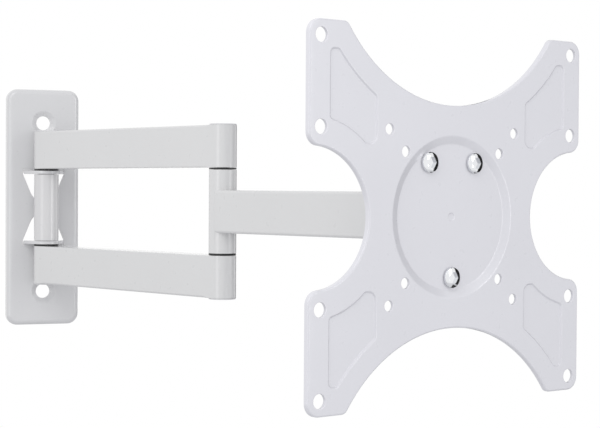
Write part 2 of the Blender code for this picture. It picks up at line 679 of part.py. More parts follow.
def tilt_bracket():
    """A channel whose cheeks straddle the yoke's ears, tapering from the web to round ends."""
    half = BRACKET_HEIGHT / 2
    reach = CHEEK_RADIUS + CUT
    bracket = slab("tilt_bracket", [channel_outline(CHEEK_OUTER, BRACKET_WEB_Y, reach)], -half - CUT, half + CUT, "z")
    fold = BRACKET_WEB_Y + HEAD_SHEET + BEND_RADIUS
    round_end = arc((0, 0), CHEEK_RADIUS, math.pi / 2, -math.pi / 2, 2 * FILLET_STEPS)
    side = [(BRACKET_WEB_Y - CUT, -half), (BRACKET_WEB_Y - CUT, half), (fold, half), *round_end, (fold, -half)]
    trim(bracket, slab("bracket_side", [side], -CHEEK_OUTER - CUT, CHEEK_OUTER + CUT, "x"))
    cut(bracket, cylinder("bracket_tilt_bore", BORE_RADIUS, -CHEEK_OUTER - CUT, CHEEK_OUTER + CUT, SMALL_STEPS, "X"))
    return finish(bracket, HEAD, PAINT)


def screw_places():
    return [(SCREW_CIRCLE * math.cos(angle), SCREW_CIRCLE * math.sin(angle) + SCREW_RISE)
            for angle in SCREW_ANGLES]


def mount_disc():
    """The round back plate that the television plate is screwed to."""
    disc = cylinder("mount_disc", MOUNT_DISC_RADIUS, MOUNT_DISC_Y, MOUNT_DISC_Y + HEAD_SHEET, FINE_STEPS, "Y")
    start, end = MOUNT_DISC_Y - CUT, MOUNT_DISC_Y + HEAD_SHEET + CUT
    holes = [cylinder("hole", SCREW_RADIUS + FIT, start, end, SMALL_STEPS, "Y", (x, 0, z)) for x, z in screw_places()]
    holes.append(cylinder("hole", MOUNT_DISC_HOLE_RADIUS, start, end, SMALL_STEPS, "Y"))
    cut(disc, joined("mount_disc_holes", holes))
    return finish(disc, HEAD, PAINT)


def plate_screws():
    """Three button-headed screws on the dish's floor, each with a nut behind the mount disc."""
    seat = FIT
    head = seat + SCREW_HEAD_HEIGHT
    nut_face = MOUNT_DISC_Y + HEAD_SHEET + FIT
    tail = DISH_FLOOR_Y - nut_face - PLATE_NUT_HEIGHT - BOLT_TAIL
    socket_corner = SCREW_SOCKET_FLATS / math.sqrt(3)
    crown = [(socket_corner + FIT, head), (SCREW_HEAD_RADIUS - SCREW_HEAD_CROWN, head - SCREW_HEAD_EDGE),
             (SCREW_HEAD_RADIUS - SCREW_HEAD_EDGE, head - SCREW_HEAD_CROWN)]
    profile = [(0, head)] + crown + [(SCREW_HEAD_RADIUS, seat), (SCREW_RADIUS, seat), (SCREW_RADIUS, tail), (0, tail)]
    for number, (x, z) in enumerate(screw_places(), 1):
        screw = turned(f"plate_screw_{number}", profile, SMALL_STEPS, False)
        cut(screw, hexagon(f"plate_screw_{number}_socket", SCREW_SOCKET_FLATS, head - SCREW_SOCKET_DEPTH, head + CUT))
        place(screw, HEAD, (x, DISH_FLOOR_Y, z), (math.pi / 2, 0, 0))
        finish(screw, HEAD, BRIGHT)
        nut = hexagon(f"plate_nut_{number}", PLATE_NUT_FLATS, 0, PLATE_NUT_HEIGHT)
        cut(nut, cylinder(f"plate_nut_{number}_bore", SCREW_RADIUS + FIT, -CUT, PLATE_NUT_HEIGHT + CUT, SMALL_STEPS))
        place(nut, HEAD, (x, nut_face, z), (-math.pi / 2, 0, 0))
        finish(nut, HEAD, STEEL)


def tilt_hardware():
    seat = CHEEK_OUTER + FIT
    turn = (0, math.pi / 2, 0)
    hex_bolt("tilt_bolt", seat, -seat - NUT_HEIGHT - BOLT_TAIL, HEAD, (0, 0, 0), turn)
    lock_nut("tilt_nut", -seat, HEAD, (0, 0, 0), turn)
    start = YOKE_WIDTH / 2 + FIT
    for word, side in (("right", 1), ("left", -1)):
        bottom, top = sorted((side * start, side * (start + FRICTION_WASHER)))
        washer = turned(f"friction_washer_{word}", [(BORE_RADIUS, top), (FRICTION_WASHER_RADIUS, top),
                                                    (FRICTION_WASHER_RADIUS, bottom), (BORE_RADIUS, bottom)],
                        ROUND_STEPS, True)
        place(washer, HEAD, (0, 0, 0), turn)
        finish(washer, HEAD, NYLON)


# Television plate

def plate_outline(inset):
    """The X-shaped outline, drawn in by the inset."""
    right = PLATE_WIDTH / 2 - inset
    top = PLATE_HEIGHT / 2 - inset
    corner = PLATE_CORNER - inset
    fillet = PLATE_ARCH_FILLET - inset
    waist = WAIST_RADIUS + inset
    arch = ARCH_RADIUS + inset
    side_x = right - corner
    side_z = math.sqrt((waist + corner) ** 2 - (side_x - WAIST_CENTRE) ** 2)
    meet = math.atan2(side_z, side_x - WAIST_CENTRE)
    quarter = arc((WAIST_CENTRE, 0), waist, math.pi, meet, ARC_STEPS)
    quarter += arc((side_x, side_z), corner, meet - math.pi, 0, FILLET_STEPS)
    quarter += arc((side_x, top - corner), corner, 0, math.pi / 2, FILLET_STEPS)
    top_z = top - fillet
    top_x = math.sqrt((arch + fillet) ** 2 - (ARCH_CENTRE - top_z) ** 2)
    meet = math.atan2(top_z - ARCH_CENTRE, top_x)
    quarter += arc((top_x, top_z), fillet, math.pi / 2, meet + math.pi, FILLET_STEPS)
    quarter += arc((0, ARCH_CENTRE), arch, meet, -math.pi / 2, ARC_STEPS)[1:]
    return four_quarters(quarter[:-1] + [(0, ARCH_CENTRE - arch)])


def panel_outline(grow):
    """One stiffening panel, between the waist's and the arch's curves, drawn out by the growth."""
    inner, outer = PANEL_INNER - grow, PANEL_OUTER + grow
    waist = WAIST_RADIUS + PANEL_WAIST_OFFSET - grow
    arch = ARCH_RADIUS + PANEL_ARCH_OFFSET - grow
    foot, head = PANEL_FOOT - grow, PANEL_HEAD + grow
    low = math.acos((outer - WAIST_CENTRE) / waist)
    turn = math.asin(foot / waist)
    lower = arc((WAIST_CENTRE, 0), waist, math.pi - turn, low, PANEL_ARC_STEPS)
    high = math.asin((head - ARCH_CENTRE) / arch)
    upper = arc((0, ARCH_CENTRE), arch, high, -math.acos(inner / arch), PANEL_ARC_STEPS)
    fillet = PANEL_FILLET + grow
    corners = [(inner, foot, PANEL_FOOT_FILLET + grow)] + [(x, z, 0) for x, z in lower[:-1]] + [(*lower[-1], fillet)]
    corners += [(outer, head, fillet), (*upper[0], fillet)] + [(x, z, 0) for x, z in upper[1:-1]]
    corners += [(*upper[-1], fillet)]
    return rounded(corners, RIM_STEPS)


def mirrored(outline):
    """The outline in all four corners of the plate."""
    return [[(x * across, z * up) for x, z in outline] for across in (1, -1) for up in (1, -1)]


def vesa_holes():
    """Centres and radii of the hole patterns."""
    wide, low, small = VESA_WIDE / 2, VESA_LOW / 2, VESA_SMALL / 2
    quarter = [(wide, wide, LARGE_HOLE_RADIUS), (wide, low, LARGE_HOLE_RADIUS), (low, low, SMALL_HOLE_RADIUS),
               (small, small, SMALL_HOLE_RADIUS)]
    return [(x * across, z * up, radius) for x, z, radius in quarter for across in (1, -1) for up in (1, -1)]


def drafted(name, inner, outer, inner_y, outer_y):
    """A solid between two matching outlines in parallel planes."""
    bm = bmesh.new()
    rings = [[bm.verts.new((x, y, z)) for x, z in outline] for outline, y in ((outer, outer_y), (inner, inner_y))]
    for ring in rings:
        bm.faces.new(ring)
    bmesh.ops.bridge_loops(bm, edges=[edge for edge in bm.edges])
    return mesh_object(name, bm)


def vesa_plate():
    sheet_back = PLATE_Y + PLATE_SHEET
    plate = slab("vesa_plate", [plate_outline(0)], PLATE_Y, PLATE_Y + PLATE_RIM_DEPTH)
    round_edges(plate, on_plane(1, PLATE_Y), PLATE_EDGE, RIM_STEPS)
    cut(plate, slab("plate_back", [plate_outline(PLATE_SHEET)], sheet_back, PLATE_Y + PLATE_RIM_DEPTH + CUT))
    slope = (DISH_RADIUS - DISH_FLOOR_RADIUS) / DISH_DEPTH
    backs = [cylinder("dish_back", DISH_RADIUS + DISH_BACK_GROWTH + slope * CUT, sheet_back - CUT, DISH_BACK_Y,
                      FINE_STEPS, "Y", far_radius=DISH_FLOOR_RADIUS + DISH_BACK_GROWTH)]
    for wide, narrow in zip(mirrored(panel_outline(PANEL_BACK_GROWTH)),
                            mirrored(panel_outline(PANEL_BACK_GROWTH - PANEL_DRAFT))):
        backs.append(drafted("panel_back", narrow, wide, sheet_back + PANEL_DEPTH, sheet_back - PANEL_DEPTH))
    add(plate, joined("pressed_backs", backs))
    hollows = [cylinder("dish", DISH_RADIUS + slope * CUT, PLATE_Y - CUT, DISH_FLOOR_Y, FINE_STEPS, "Y",
                        far_radius=DISH_FLOOR_RADIUS)]
    for wide, narrow in zip(mirrored(panel_outline(PANEL_DRAFT)), mirrored(panel_outline(-PANEL_DRAFT))):
        hollows.append(drafted("panel", narrow, wide, PLATE_Y + PANEL_DEPTH, PLATE_Y - PANEL_DEPTH))
    cut(plate, joined("pressed_hollows", hollows))
    start, end = PLATE_Y - CUT, PLATE_Y + PLATE_RIM_DEPTH + CUT
    holes = [cylinder("hole", radius, start, end, SMALL_STEPS, "Y", (x, 0, z)) for x, z, radius in vesa_holes()]
    holes += [cylinder("hole", SCREW_RADIUS + FIT, start, DISH_BACK_Y + CUT, SMALL_STEPS, "Y", (x, 0, z))
              for x, z in screw_places()]
    holes.append(cylinder("pip", PIP_RADIUS, DISH_FLOOR_Y - CUT, DISH_FLOOR_Y + PIP_DEPTH, SMALL_STEPS, "Y"))
    cut(plate, joined("plate_holes", holes))
    return finish(plate, HEAD, PAINT)


def wall_side():
    pivot = (0, WALL_PIVOT_Y, 0)
    wall_plate()
    knuckle("wall_barrel", SEAT_HEIGHT - PAN_SHEET - FIT, SEAT_HEIGHT, WALL, pivot)
    for word, side in (("upper", 1), ("lower", -1)):
        bush(f"wall_bush_{word}", SEAT_HEIGHT, side, WALL, pivot)


wall_side()
links()
forearm()
swivel_head()
tilt_bracket()
mount_disc()
tilt_hardware()
vesa_plate()
plate_screws()
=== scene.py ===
"""The wall mount dressed for its photograph: smooth forms, paint, plastics, metal, studio light and camera.

Each piece is drawn in the frame of the joint that carries it, with the arm along -Y, and then set in place.
"""
import math

import bmesh
import bpy
import numpy as np
from mathutils import Matrix, Vector
from mathutils.geometry import delaunay_2d_cdt

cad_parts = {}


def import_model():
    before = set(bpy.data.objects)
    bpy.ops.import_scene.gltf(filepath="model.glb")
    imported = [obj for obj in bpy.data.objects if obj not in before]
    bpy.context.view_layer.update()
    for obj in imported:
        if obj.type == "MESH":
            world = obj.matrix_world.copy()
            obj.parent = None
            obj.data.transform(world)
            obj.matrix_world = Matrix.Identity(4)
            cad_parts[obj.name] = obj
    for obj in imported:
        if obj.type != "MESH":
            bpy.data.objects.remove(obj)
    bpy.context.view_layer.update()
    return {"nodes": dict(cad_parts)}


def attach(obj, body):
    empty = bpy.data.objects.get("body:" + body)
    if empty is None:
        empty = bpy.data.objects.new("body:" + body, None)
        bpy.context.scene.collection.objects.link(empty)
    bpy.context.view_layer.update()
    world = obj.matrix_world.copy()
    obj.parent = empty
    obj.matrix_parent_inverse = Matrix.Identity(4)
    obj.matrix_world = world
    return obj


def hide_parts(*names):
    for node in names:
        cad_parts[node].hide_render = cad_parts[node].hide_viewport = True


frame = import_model()

MM = 0.001
CUT = 1.0 * MM              # how far a cutter runs past what it cuts
FIT = 0.25 * MM
EASE = 0.25 * MM            # rounding of a hole's rim
ROUND_STEPS = 96            # sides of a large round piece
SMALL_STEPS = 48            # sides of a small round piece
CORNER_STEPS = 10           # segments of a corner seen from the front
FILLET_STEPS = 5            # segments of a rounded edge
CURVE_STEPS = 40            # segments of a long curve
FOLD_STEPS = 12             # segments of a fold in sheet metal
SHEET_STEPS = 8             # segments of a bend along a sheet's rim
PRESSING_STEPS = 6          # segments of a bend in a round pressing
SMALL_PRESSING_STEPS = 4    # segments of a bend in a small pressing
EDGE_STEPS = 3              # segments of an eased edge
TINY_STEPS = 2              # segments of an eased edge out of sight
SHARP_ANGLE = math.radians(38)
SOFT_ANGLE = math.radians(35)
SHEET_EDGE = 0.3 * MM       # rounding of a folded sheet's edges
WELD = 0.0005 * MM          # points closer than this are one
INSIDE_CONSTRAINTS = 1      # kind of filling that stays within the outermost loop
FILL_EPSILON = 0.00001      # closeness of points while filling, in millimetres
SET_MIDDLE = Vector((0.1, -0.3, 0))     # what the lamps and the cards face
FLARE_PROUD = 0.02 * MM     # how far a rounded cutter stands out of the face that it rounds
X, Y, Z = range(3)          # coordinates of a point

# Pose of the arms and sizes, as in the solids
WALL_REST = math.radians(23.6)
ELBOW_REST = math.radians(-0.5)
HEAD_REST = math.radians(-5.5)
LINK_LENGTH = 209.5 * MM
FOREARM_LENGTH = 156.0 * MM
TUBE_HEIGHT = 29.2 * MM
TUBE_WIDTH = 19.1 * MM
TUBE_CORNER = 2.0 * MM
BLEND_START = 2.0 * MM      # where a link's crisp round end starts to soften into its tube
BLEND_LENGTH = 9.0 * MM
BLEND_STEPS = 8
LINK_END_EASES = (0.2 * MM, 0.3 * MM)       # a link's inner and outer edges at its round ends
LINK_TUBE_EASES = (0.9 * MM, 1.6 * MM)      # and along its tube
LINK_INNER = 30.2 * MM
PIVOT_RADIUS = TUBE_WIDTH / 2
BOLT_RADIUS = 4.0 * MM
BORE_RADIUS = BOLT_RADIUS + FIT
HEX_FLATS = 13.0 * MM
HEX_HEAD_HEIGHT = 5.3 * MM
NUT_HEIGHT = 7.5 * MM
NUT_COLLAR_HEIGHT = 2.0 * MM
NUT_COLLAR_RADIUS = 5.6 * MM
BOLT_TAIL = 1.2 * MM
TIP_CHAMFER = 0.4 * MM
THREAD_LENGTH = 3.0 * MM
CHAMFER_SHARE = 0.93        # of a hexagon's flats, where its corners start to be turned off
CHAMFER_DROP = 1.0 * MM
CHAMFER_REACH = 0.3 * MM    # how far past a hexagon's corners the turning goes
BUSH_FLANGE = 1.0 * MM
BUSH_FLANGE_INSET = 0.1 * MM
BUSH_RADIUS = 6.2 * MM
BUSH_SLEEVE = 12.0 * MM
BUSH_GAP = 0.5 * MM         # from a bush's end to the step in its bore
KNUCKLE_BORE = 4.6 * MM
COUNTERBORE_RADIUS = 8.0 * MM
COUNTERBORE_DEPTH = 12.5 * MM
CAP_INSET = 0.2 * MM
CAP_THICKNESS = 0.6 * MM
CAP_GAP = 0.03 * MM
CAP_SKIRT = 3.0 * MM
CAP_SKIRT_WALL = 1.0 * MM
SEAT_HEIGHT = LINK_INNER - FIT - BUSH_FLANGE - FIT
LINK_OUTER = LINK_INNER + TUBE_HEIGHT
BUSH_BORE_RADIUS = BUSH_RADIUS + FIT

PAN_WIDTH = 57.0 * MM
PAN_HEIGHT = 186.2 * MM
PAN_DEPTH = 8.9 * MM
PAN_SHEET = 2.5 * MM
PAN_CORNER = 8.5 * MM
PAN_RIM = 4.0 * MM
PIVOT_STANDOFF = 11.7 * MM
WALL_PIVOT_Y = -(PAN_DEPTH + PIVOT_STANDOFF)
EAR_FOOT = 31.6 * MM
EAR_TIP_RADIUS = 10.6 * MM
BEND_RADIUS = 1.5 * MM
EAR_FOLD = (BEND_RADIUS + PAN_SHEET / 2) * math.pi / 2      # length of the tongue that its fold takes up
LANCE_GAP = 0.4 * MM
WALL_HOLE_HEIGHT = 66.6 * MM
WALL_HOLE_RADIUS = 5.5 * MM
DIMPLE_RADIUS = 9.5 * MM
DIMPLE_DEPTH = 2.0 * MM
DIMPLE_BACK_GROWTH = 1.6 * MM

HEAD_KNUCKLE_HEIGHT = 34.0 * MM
HEAD_SHEET = 3.0 * MM
YOKE_WIDTH = 34.0 * MM
YOKE_WEB_DISTANCE = 17.0 * MM
YOKE_LEG_RADIUS = 12.0 * MM
TILT_AXIS_DISTANCE = 31.0 * MM
YOKE_EAR_RADIUS = 11.0 * MM
CHEEK_RADIUS = 12.0 * MM
BRACKET_HEIGHT = 32.0 * MM
FRICTION_WASHER = 1.2 * MM
FRICTION_WASHER_RADIUS = 9.0 * MM
SPACER_RADIUS = 6.5 * MM
HEAD_SEAT = HEAD_KNUCKLE_HEIGHT / 2
LEG_INNER = HEAD_SEAT + FIT + BUSH_FLANGE + FIT
LEG_OUTER = LEG_INNER + HEAD_SHEET
YOKE_WEB_FRONT = YOKE_WEB_DISTANCE + HEAD_SHEET
CHEEK_INNER = YOKE_WIDTH / 2 + FIT + FRICTION_WASHER + FIT
CHEEK_OUTER = CHEEK_INNER + HEAD_SHEET

PLATE_FRONT = 57.0 * MM
PLATE_SHEET = 2.0 * MM
PLATE_RIM_DEPTH = 3.5 * MM
PLATE_CORNER = 8.0 * MM
PLATE_ARCH_FILLET = 5.0 * MM
PLATE_HALF_WIDTH = 108.3 * MM
PLATE_HALF_HEIGHT = 108.8 * MM
WAIST_RADIUS = 39.7 * MM
WAIST_CENTRE = 65.0 * MM + WAIST_RADIUS
ARCH_RADIUS = 97.0 * MM
ARCH_CENTRE = 65.0 * MM + ARCH_RADIUS
DISH_RADIUS = 47.5 * MM
DISH_FLOOR_RADIUS = 42.5 * MM
DISH_DEPTH = 2.0 * MM
DISH_BACK_GROWTH = 0.9 * MM
DISH_LIP = 0.8 * MM
DISH_OUTER_BEND = 3.0 * MM
DISH_INNER_BEND = 2.4 * MM
DISH_FLAT = 1.5 * MM
PANEL_DEPTH = 0.8 * MM
PANEL_DRAFT = 0.8 * MM
PANEL_BACK_GROWTH = 0.7 * MM
PANEL_INNER = 59.3 * MM
PANEL_OUTER = 93.8 * MM
PANEL_FOOT = 41.0 * MM
PANEL_HEAD = 93.6 * MM
PANEL_WAIST_OFFSET = 15.6 * MM
PANEL_ARCH_OFFSET = 13.7 * MM
PANEL_FILLET = 3.2 * MM
PANEL_FOOT_FILLET = 5.5 * MM
LARGE_HOLE_RADIUS = 4.2 * MM
SMALL_HOLE_RADIUS = 3.2 * MM
PIP_RADIUS = 2.5 * MM
PIP_DEPTH = 0.4 * MM
MOUNT_DISC_RADIUS = 41.0 * MM
MOUNT_DISC_HOLE_RADIUS = 9.0 * MM
PLATE_Y = -(PLATE_FRONT - TILT_AXIS_DISTANCE)
SHEET_BACK = PLATE_Y + PLATE_SHEET
PLATE_BACK = PLATE_Y + PLATE_RIM_DEPTH
DISH_FLOOR_Y = PLATE_Y + DISH_DEPTH
DISH_BACK_Y = DISH_FLOOR_Y + PLATE_SHEET
MOUNT_DISC_Y = DISH_BACK_Y + FIT
BRACKET_WEB_Y = MOUNT_DISC_Y + HEAD_SHEET + FIT

SCREW_CIRCLE = 36.0 * MM
SCREW_RISE = 0.5 * MM
SCREW_ANGLES = (math.radians(60), math.radians(120), math.radians(270))
SCREW_RADIUS = 3.0 * MM
SCREW_HEAD_RADIUS = 6.0 * MM
SCREW_HEAD_HEIGHT = 2.4 * MM
SCREW_DOME_RADIUS = 17.0 * MM
SCREW_SOCKET_FLATS = 6.4 * MM
SCREW_SOCKET_DEPTH = 1.6 * MM
SCREW_SOCKET_LIP = 0.6 * MM     # how far inside the socket's flats the dome starts
SCREW_RIM_EASE = 0.2 * MM
SCREW_STEPS = 64
PLATE_NUT_FLATS = 10.0 * MM
PLATE_NUT_HEIGHT = 5.0 * MM
PLATE_NUT_FLARE = 0.4 * MM


# Frames of the joints

def turn_z(angle):
    return Matrix.Rotation(angle, 4, "Z")


def along(distance):
    return Matrix.Translation((0, -distance, 0))


WALL = Matrix.Identity(4)
LINKS = Matrix.Translation((0, WALL_PIVOT_Y, 0)) @ turn_z(WALL_REST)
FOREARM = LINKS @ along(LINK_LENGTH) @ turn_z(ELBOW_REST)
YOKE = FOREARM @ along(FOREARM_LENGTH) @ turn_z(HEAD_REST)
HEAD = YOKE @ along(TILT_AXIS_DISTANCE)

TO_X = Matrix.Rotation(math.pi / 2, 4, "Y")     # turns a piece made about Z so that it lies about X
TO_Y = Matrix.Rotation(-math.pi / 2, 4, "X")    # and about Y
UPSIDE_DOWN = Matrix.Rotation(math.pi, 4, "X")


# Outlines

def arc(centre, radius, start, end, steps):
    return [(centre[0] + radius * math.cos(start + (end - start) * i / steps),
             centre[1] + radius * math.sin(start + (end - start) * i / steps)) for i in range(steps + 1)]


def rounded(corners, steps=FILLET_STEPS):
    """A line through (first, second, radius) corners, each corner with a radius replaced by a tangent arc."""
    points = []
    for i, (x, z, radius) in enumerate(corners):
        here = Vector((x, z))
        if radius == 0:
            points.append((x, z))
            continue
        before = (Vector(corners[i - 1][:2]) - here).normalized()
        after = (Vector(corners[(i + 1) % len(corners)][:2]) - here).normalized()
        half = before.angle(after) / 2
        centre = here + (before + after).normalized() * (radius / math.sin(half))
        first = here + before * (radius / math.tan(half)) - centre
        turn = first.angle_signed(here + after * (radius / math.tan(half)) - centre)
        start = math.atan2(first.y, first.x)
        points += arc(centre, radius, start, start - turn, steps)
    return points


def rectangle(width, height, radius):
    x, z = width / 2, height / 2
    return rounded([(-x, -z, radius), (x, -z, radius), (x, z, radius), (-x, z, radius)], CORNER_STEPS)


def four_quarters(quarter):
    half = quarter + [(-x, z) for x, z in reversed(quarter) if x > 0]
    return half + [(x, -z) for x, z in reversed(half) if z > 0]


def mirrored(outline):
    return [[(x * across, z * up) for x, z in outline] for across in (1, -1) for up in (1, -1)]


# Solids

def added(name, data):
    item = bpy.data.objects.new(name, data)
    bpy.context.scene.collection.objects.link(item)
    return item


def solid(bm):
    mesh = bpy.data.meshes.new("solid")
    bmesh.ops.recalc_face_normals(bm, faces=bm.faces)
    bm.to_mesh(mesh)
    bm.free()
    return added("solid", mesh)


def lofted(rings):
    """A closed solid through rings of matching points, flat at both ends."""
    bm = bmesh.new()
    loops = [[bm.verts.new(point) for point in ring] for ring in rings]
    for low, high in zip(loops, loops[1:]):
        for i in range(len(low)):
            j = (i + 1) % len(low)
            bm.faces.new((low[i], low[j], high[j], high[i]))
    bm.faces.new(loops[0])
    bm.faces.new(loops[-1])
    return solid(bm)


def lathe(profile, steps=ROUND_STEPS, closed=False):
    """(radius, height) points turned about Z; a closed profile makes a ring or a tube."""
    bm = bmesh.new()
    loops = []
    turns = [math.tau * k / steps for k in range(steps)]
    for radius, height in profile:
        loops.append([bm.verts.new((radius * math.cos(turn), radius * math.sin(turn), height))
                      for turn in (turns if radius else turns[:1])])
    pairs = list(zip(loops, loops[1:]))
    if closed:
        pairs.append((loops[-1], loops[0]))
    for low, high in pairs:
        for k in range(steps):
            corners = []
            for loop, step in ((low, k), (low, k + 1), (high, k + 1), (high, k)):
                corner = loop[step % len(loop)]
                if corner not in corners:
                    corners.append(corner)
            if len(corners) > 2:
                bm.faces.new(corners)
    return solid(bm)


class Skin:
    """A closed surface of strips between matching loops and flat regions between loops, in millimetres."""

    def __init__(self):
        self.bm = bmesh.new()

    def strip(self, rings):
        """Joins closed loops of matching points one after the other."""
        loops = [[self.bm.verts.new(Vector(point) / MM) for point in ring] for ring in rings]
        for low, high in zip(loops, loops[1:]):
            for i in range(len(low)):
                j = (i + 1) % len(low)
                self.bm.faces.new((low[i], low[j], high[j], high[i]))
        return loops

    def hole(self, profile, place, steps=SMALL_STEPS):
        """A strip of (radius, depth) points about an axis; place turns (across, up, depth) into a point."""
        turns = [math.tau * k / steps for k in range(steps)]
        loops = self.strip([[place(radius * math.cos(turn), radius * math.sin(turn), depth) for turn in turns]
                            for radius, depth in profile])
        return loops[0], loops[-1]

    def fill(self, across, up, *loops):
        """Closes the flat region that the loops bound, which lies in the plane of two coordinates."""
        corners = [corner for loop in loops for corner in loop]
        sides, start = [], 0
        for loop in loops:
            sides += [(start + i, start + (i + 1) % len(loop)) for i in range(len(loop))]
            start += len(loop)
        spots = [Vector((corner.co[across], corner.co[up])) for corner in corners]
        _, _, faces, sources, _, _ = delaunay_2d_cdt(spots, sides, [], INSIDE_CONSTRAINTS, FILL_EPSILON)
        first = np.array([spots[i] for i, j in sides])
        second = np.array([spots[j] for i, j in sides])
        for face in faces:
            face = [sources[i][0] for i in face]
            x, y = sum((spots[i] for i in face), Vector((0, 0))) / len(face)
            astride = (first[:, 1] > y) != (second[:, 1] > y)
            low, high = first[astride], second[astride]
            met = low[:, 0] + (y - low[:, 1]) * (high[:, 0] - low[:, 0]) / (high[:, 1] - low[:, 1])
            if np.count_nonzero(met > x) % 2:
                self.bm.faces.new([corners[i] for i in face])

    def done(self):
        bmesh.ops.scale(self.bm, vec=(MM, MM, MM), verts=self.bm.verts)
        return solid(self.bm)


def bore(radius, start, end):
    """(radius, depth) points down a hole with eased rims, from a flat collar on one face to the other's."""
    collar = radius + 2 * EASE
    corners = [(collar, start, 0), (radius, start, EASE), (radius, end, EASE), (collar, end, 0)]
    return rounded(corners, EDGE_STEPS)


def moved(item, *matrices):
    for matrix in matrices:
        item.data.transform(matrix)
    item.data.update()
    return item


def at(x, y, z):
    return Matrix.Translation((x, y, z))


# Turns a solid made about Z so that its thickness runs along the axis
FACING = {
    "y": Matrix.Rotation(math.pi / 2, 4, "X"),
    "z": Matrix.Identity(4),
    "x": Matrix.Rotation(math.pi / 2, 4, "Z") @ Matrix.Rotation(math.pi / 2, 4, "X"),
}


def slab(outline, start, end, facing="y"):
    """An outline thickened from one coordinate to another along the facing axis."""
    low, high = sorted((start, end))
    sign = -1 if facing == "y" else 1
    item = lofted([[(x, z, sign * level) for x, z in outline] for level in (low, high)])
    return moved(item, FACING[facing])


def gathered(items):
    bm = bmesh.new()
    for item in items:
        bm.from_mesh(item.data)
        bpy.data.objects.remove(item, do_unlink=True)
    return solid(bm)


def baked(item):
    """Applies the modifiers."""
    bpy.context.view_layer.update()
    graph = bpy.context.evaluated_depsgraph_get()
    mesh = bpy.data.meshes.new_from_object(item.evaluated_get(graph), depsgraph=graph)
    item.modifiers.clear()
    item.data = mesh
    return item


def combined(item, operation, tool):
    change = item.modifiers.new("change", "BOOLEAN")
    change.operation = operation
    change.solver = "EXACT"
    change.object = tool
    baked(item)
    bpy.data.objects.remove(tool, do_unlink=True)
    bm = bmesh.new()
    bm.from_mesh(item.data)
    bmesh.ops.remove_doubles(bm, verts=bm.verts, dist=WELD)
    bmesh.ops.dissolve_degenerate(bm, edges=bm.edges, dist=WELD)
    bm.to_mesh(item.data)
    bm.free()
    return item


def cut(item, *tools):
    return combined(item, "DIFFERENCE", gathered(tools))


def add(item, *tools):
    return combined(item, "UNION", gathered(tools))


def trim(item, tool):
    return combined(item, "INTERSECT", tool)


def soften(item):
    """Rounds the sharp edges of a folded sheet."""
    bevel = item.modifiers.new("soften", "BEVEL")
    bevel.width = SHEET_EDGE
    bevel.segments = TINY_STEPS
    bevel.limit_method = "ANGLE"
    bevel.angle_limit = SOFT_ANGLE
    bevel.miter_outer = "MITER_ARC"
    return baked(item)


def spool(radius, start, end, flare=EASE):
    """A cutter about Z for a hole whose two rims are rounded."""
    start, end = start - FLARE_PROUD, end + FLARE_PROUD
    quarter = [math.pi / 2 * k / EDGE_STEPS for k in range(EDGE_STEPS + 1)]
    swell = [(radius + flare * (1 - math.cos(angle)), flare * (1 - math.sin(angle))) for angle in quarter]
    lower = [(across, start + rise) for across, rise in reversed(swell)]
    upper = [(across, end - rise) for across, rise in swell]
    wide = radius + flare
    profile = [(0, start - CUT), (wide, start - CUT)] + lower + upper + [(wide, end + CUT), (0, end + CUT)]
    return lathe(profile, SMALL_STEPS)


def piece(name, item, place, body, material, slot, *nodes):
    """Sets a finished shape in place as a named piece that rides on a body and stands for CAD nodes."""
    moved(item, place)
    item.name = name
    item.data.name = name
    item.data.materials.clear()
    item.data.materials.append(material)
    item.data.shade_smooth()
    item.data.set_sharp_from_angle(angle=SHARP_ANGLE)
    shading = item.modifiers.new("shading", "WEIGHTED_NORMAL")
    shading.keep_sharp = True
    baked(item)
    item.data.name = name
    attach(item, body)
    if nodes:
        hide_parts(*nodes)
    return item


# Materials

NOISE_LOW, NOISE_HIGH = 0.3, 0.7     # where most of a noise's values lie


class Nodes:
    """A material's node tree with short ways to add what these finishes use."""

    def __init__(self, name, roughness, metallic):
        self.material = bpy.data.materials.new(name)
        self.material.use_nodes = True
        self.tree = self.material.node_tree
        self.shader = self.tree.nodes["Principled BSDF"]
        self.shader.inputs["Roughness"].default_value = roughness
        self.shader.inputs["Metallic"].default_value = metallic
        self.place = self.tree.nodes.new("ShaderNodeTexCoord").outputs["Object"]

    def link(self, source, target):
        self.tree.links.new(source, target)

    def noise(self, scale, detail=2):
        node = self.tree.nodes.new("ShaderNodeTexNoise")
        node.inputs["Scale"].default_value = scale
        node.inputs["Detail"].default_value = detail
        self.link(self.place, node.inputs["Vector"])
        return node.outputs["Fac"]

    def spread(self, value, low, high):
        """Turns a noise value into the range from low to high."""
        node = self.tree.nodes.new("ShaderNodeMapRange")
        node.inputs["From Min"].default_value = NOISE_LOW
        node.inputs["From Max"].default_value = NOISE_HIGH
        node.inputs["To Min"].default_value = low
        node.inputs["To Max"].default_value = high
        self.link(value, node.inputs["Value"])
        return node.outputs["Result"]

    def tint(self, value, first, second):
        """The base colour runs between two colours with a noise value."""
        ramp = self.tree.nodes.new("ShaderNodeValToRGB")
        ramp.color_ramp.elements[0].position = NOISE_LOW
        ramp.color_ramp.elements[1].position = NOISE_HIGH
        ramp.color_ramp.elements[0].color = (*first, 1)
        ramp.color_ramp.elements[1].color = (*second, 1)
        self.link(value, ramp.inputs["Fac"])
        self.link(ramp.outputs["Color"], self.shader.inputs["Base Color"])

    def rough(self, value, low, high):
        self.link(self.spread(value, low, high), self.shader.inputs["Roughness"])

    def bump(self, value, strength, distance, before=None):
        node = self.tree.nodes.new("ShaderNodeBump")
        node.inputs["Strength"].default_value = strength
        node.inputs["Distance"].default_value = distance
        self.link(value, node.inputs["Height"])
        if before:
            self.link(before, node.inputs["Normal"])
        self.link(node.outputs["Normal"], self.shader.inputs["Normal"])
        return node.outputs["Normal"]


def shade(colour, factor):
    return tuple(channel * factor for channel in colour)


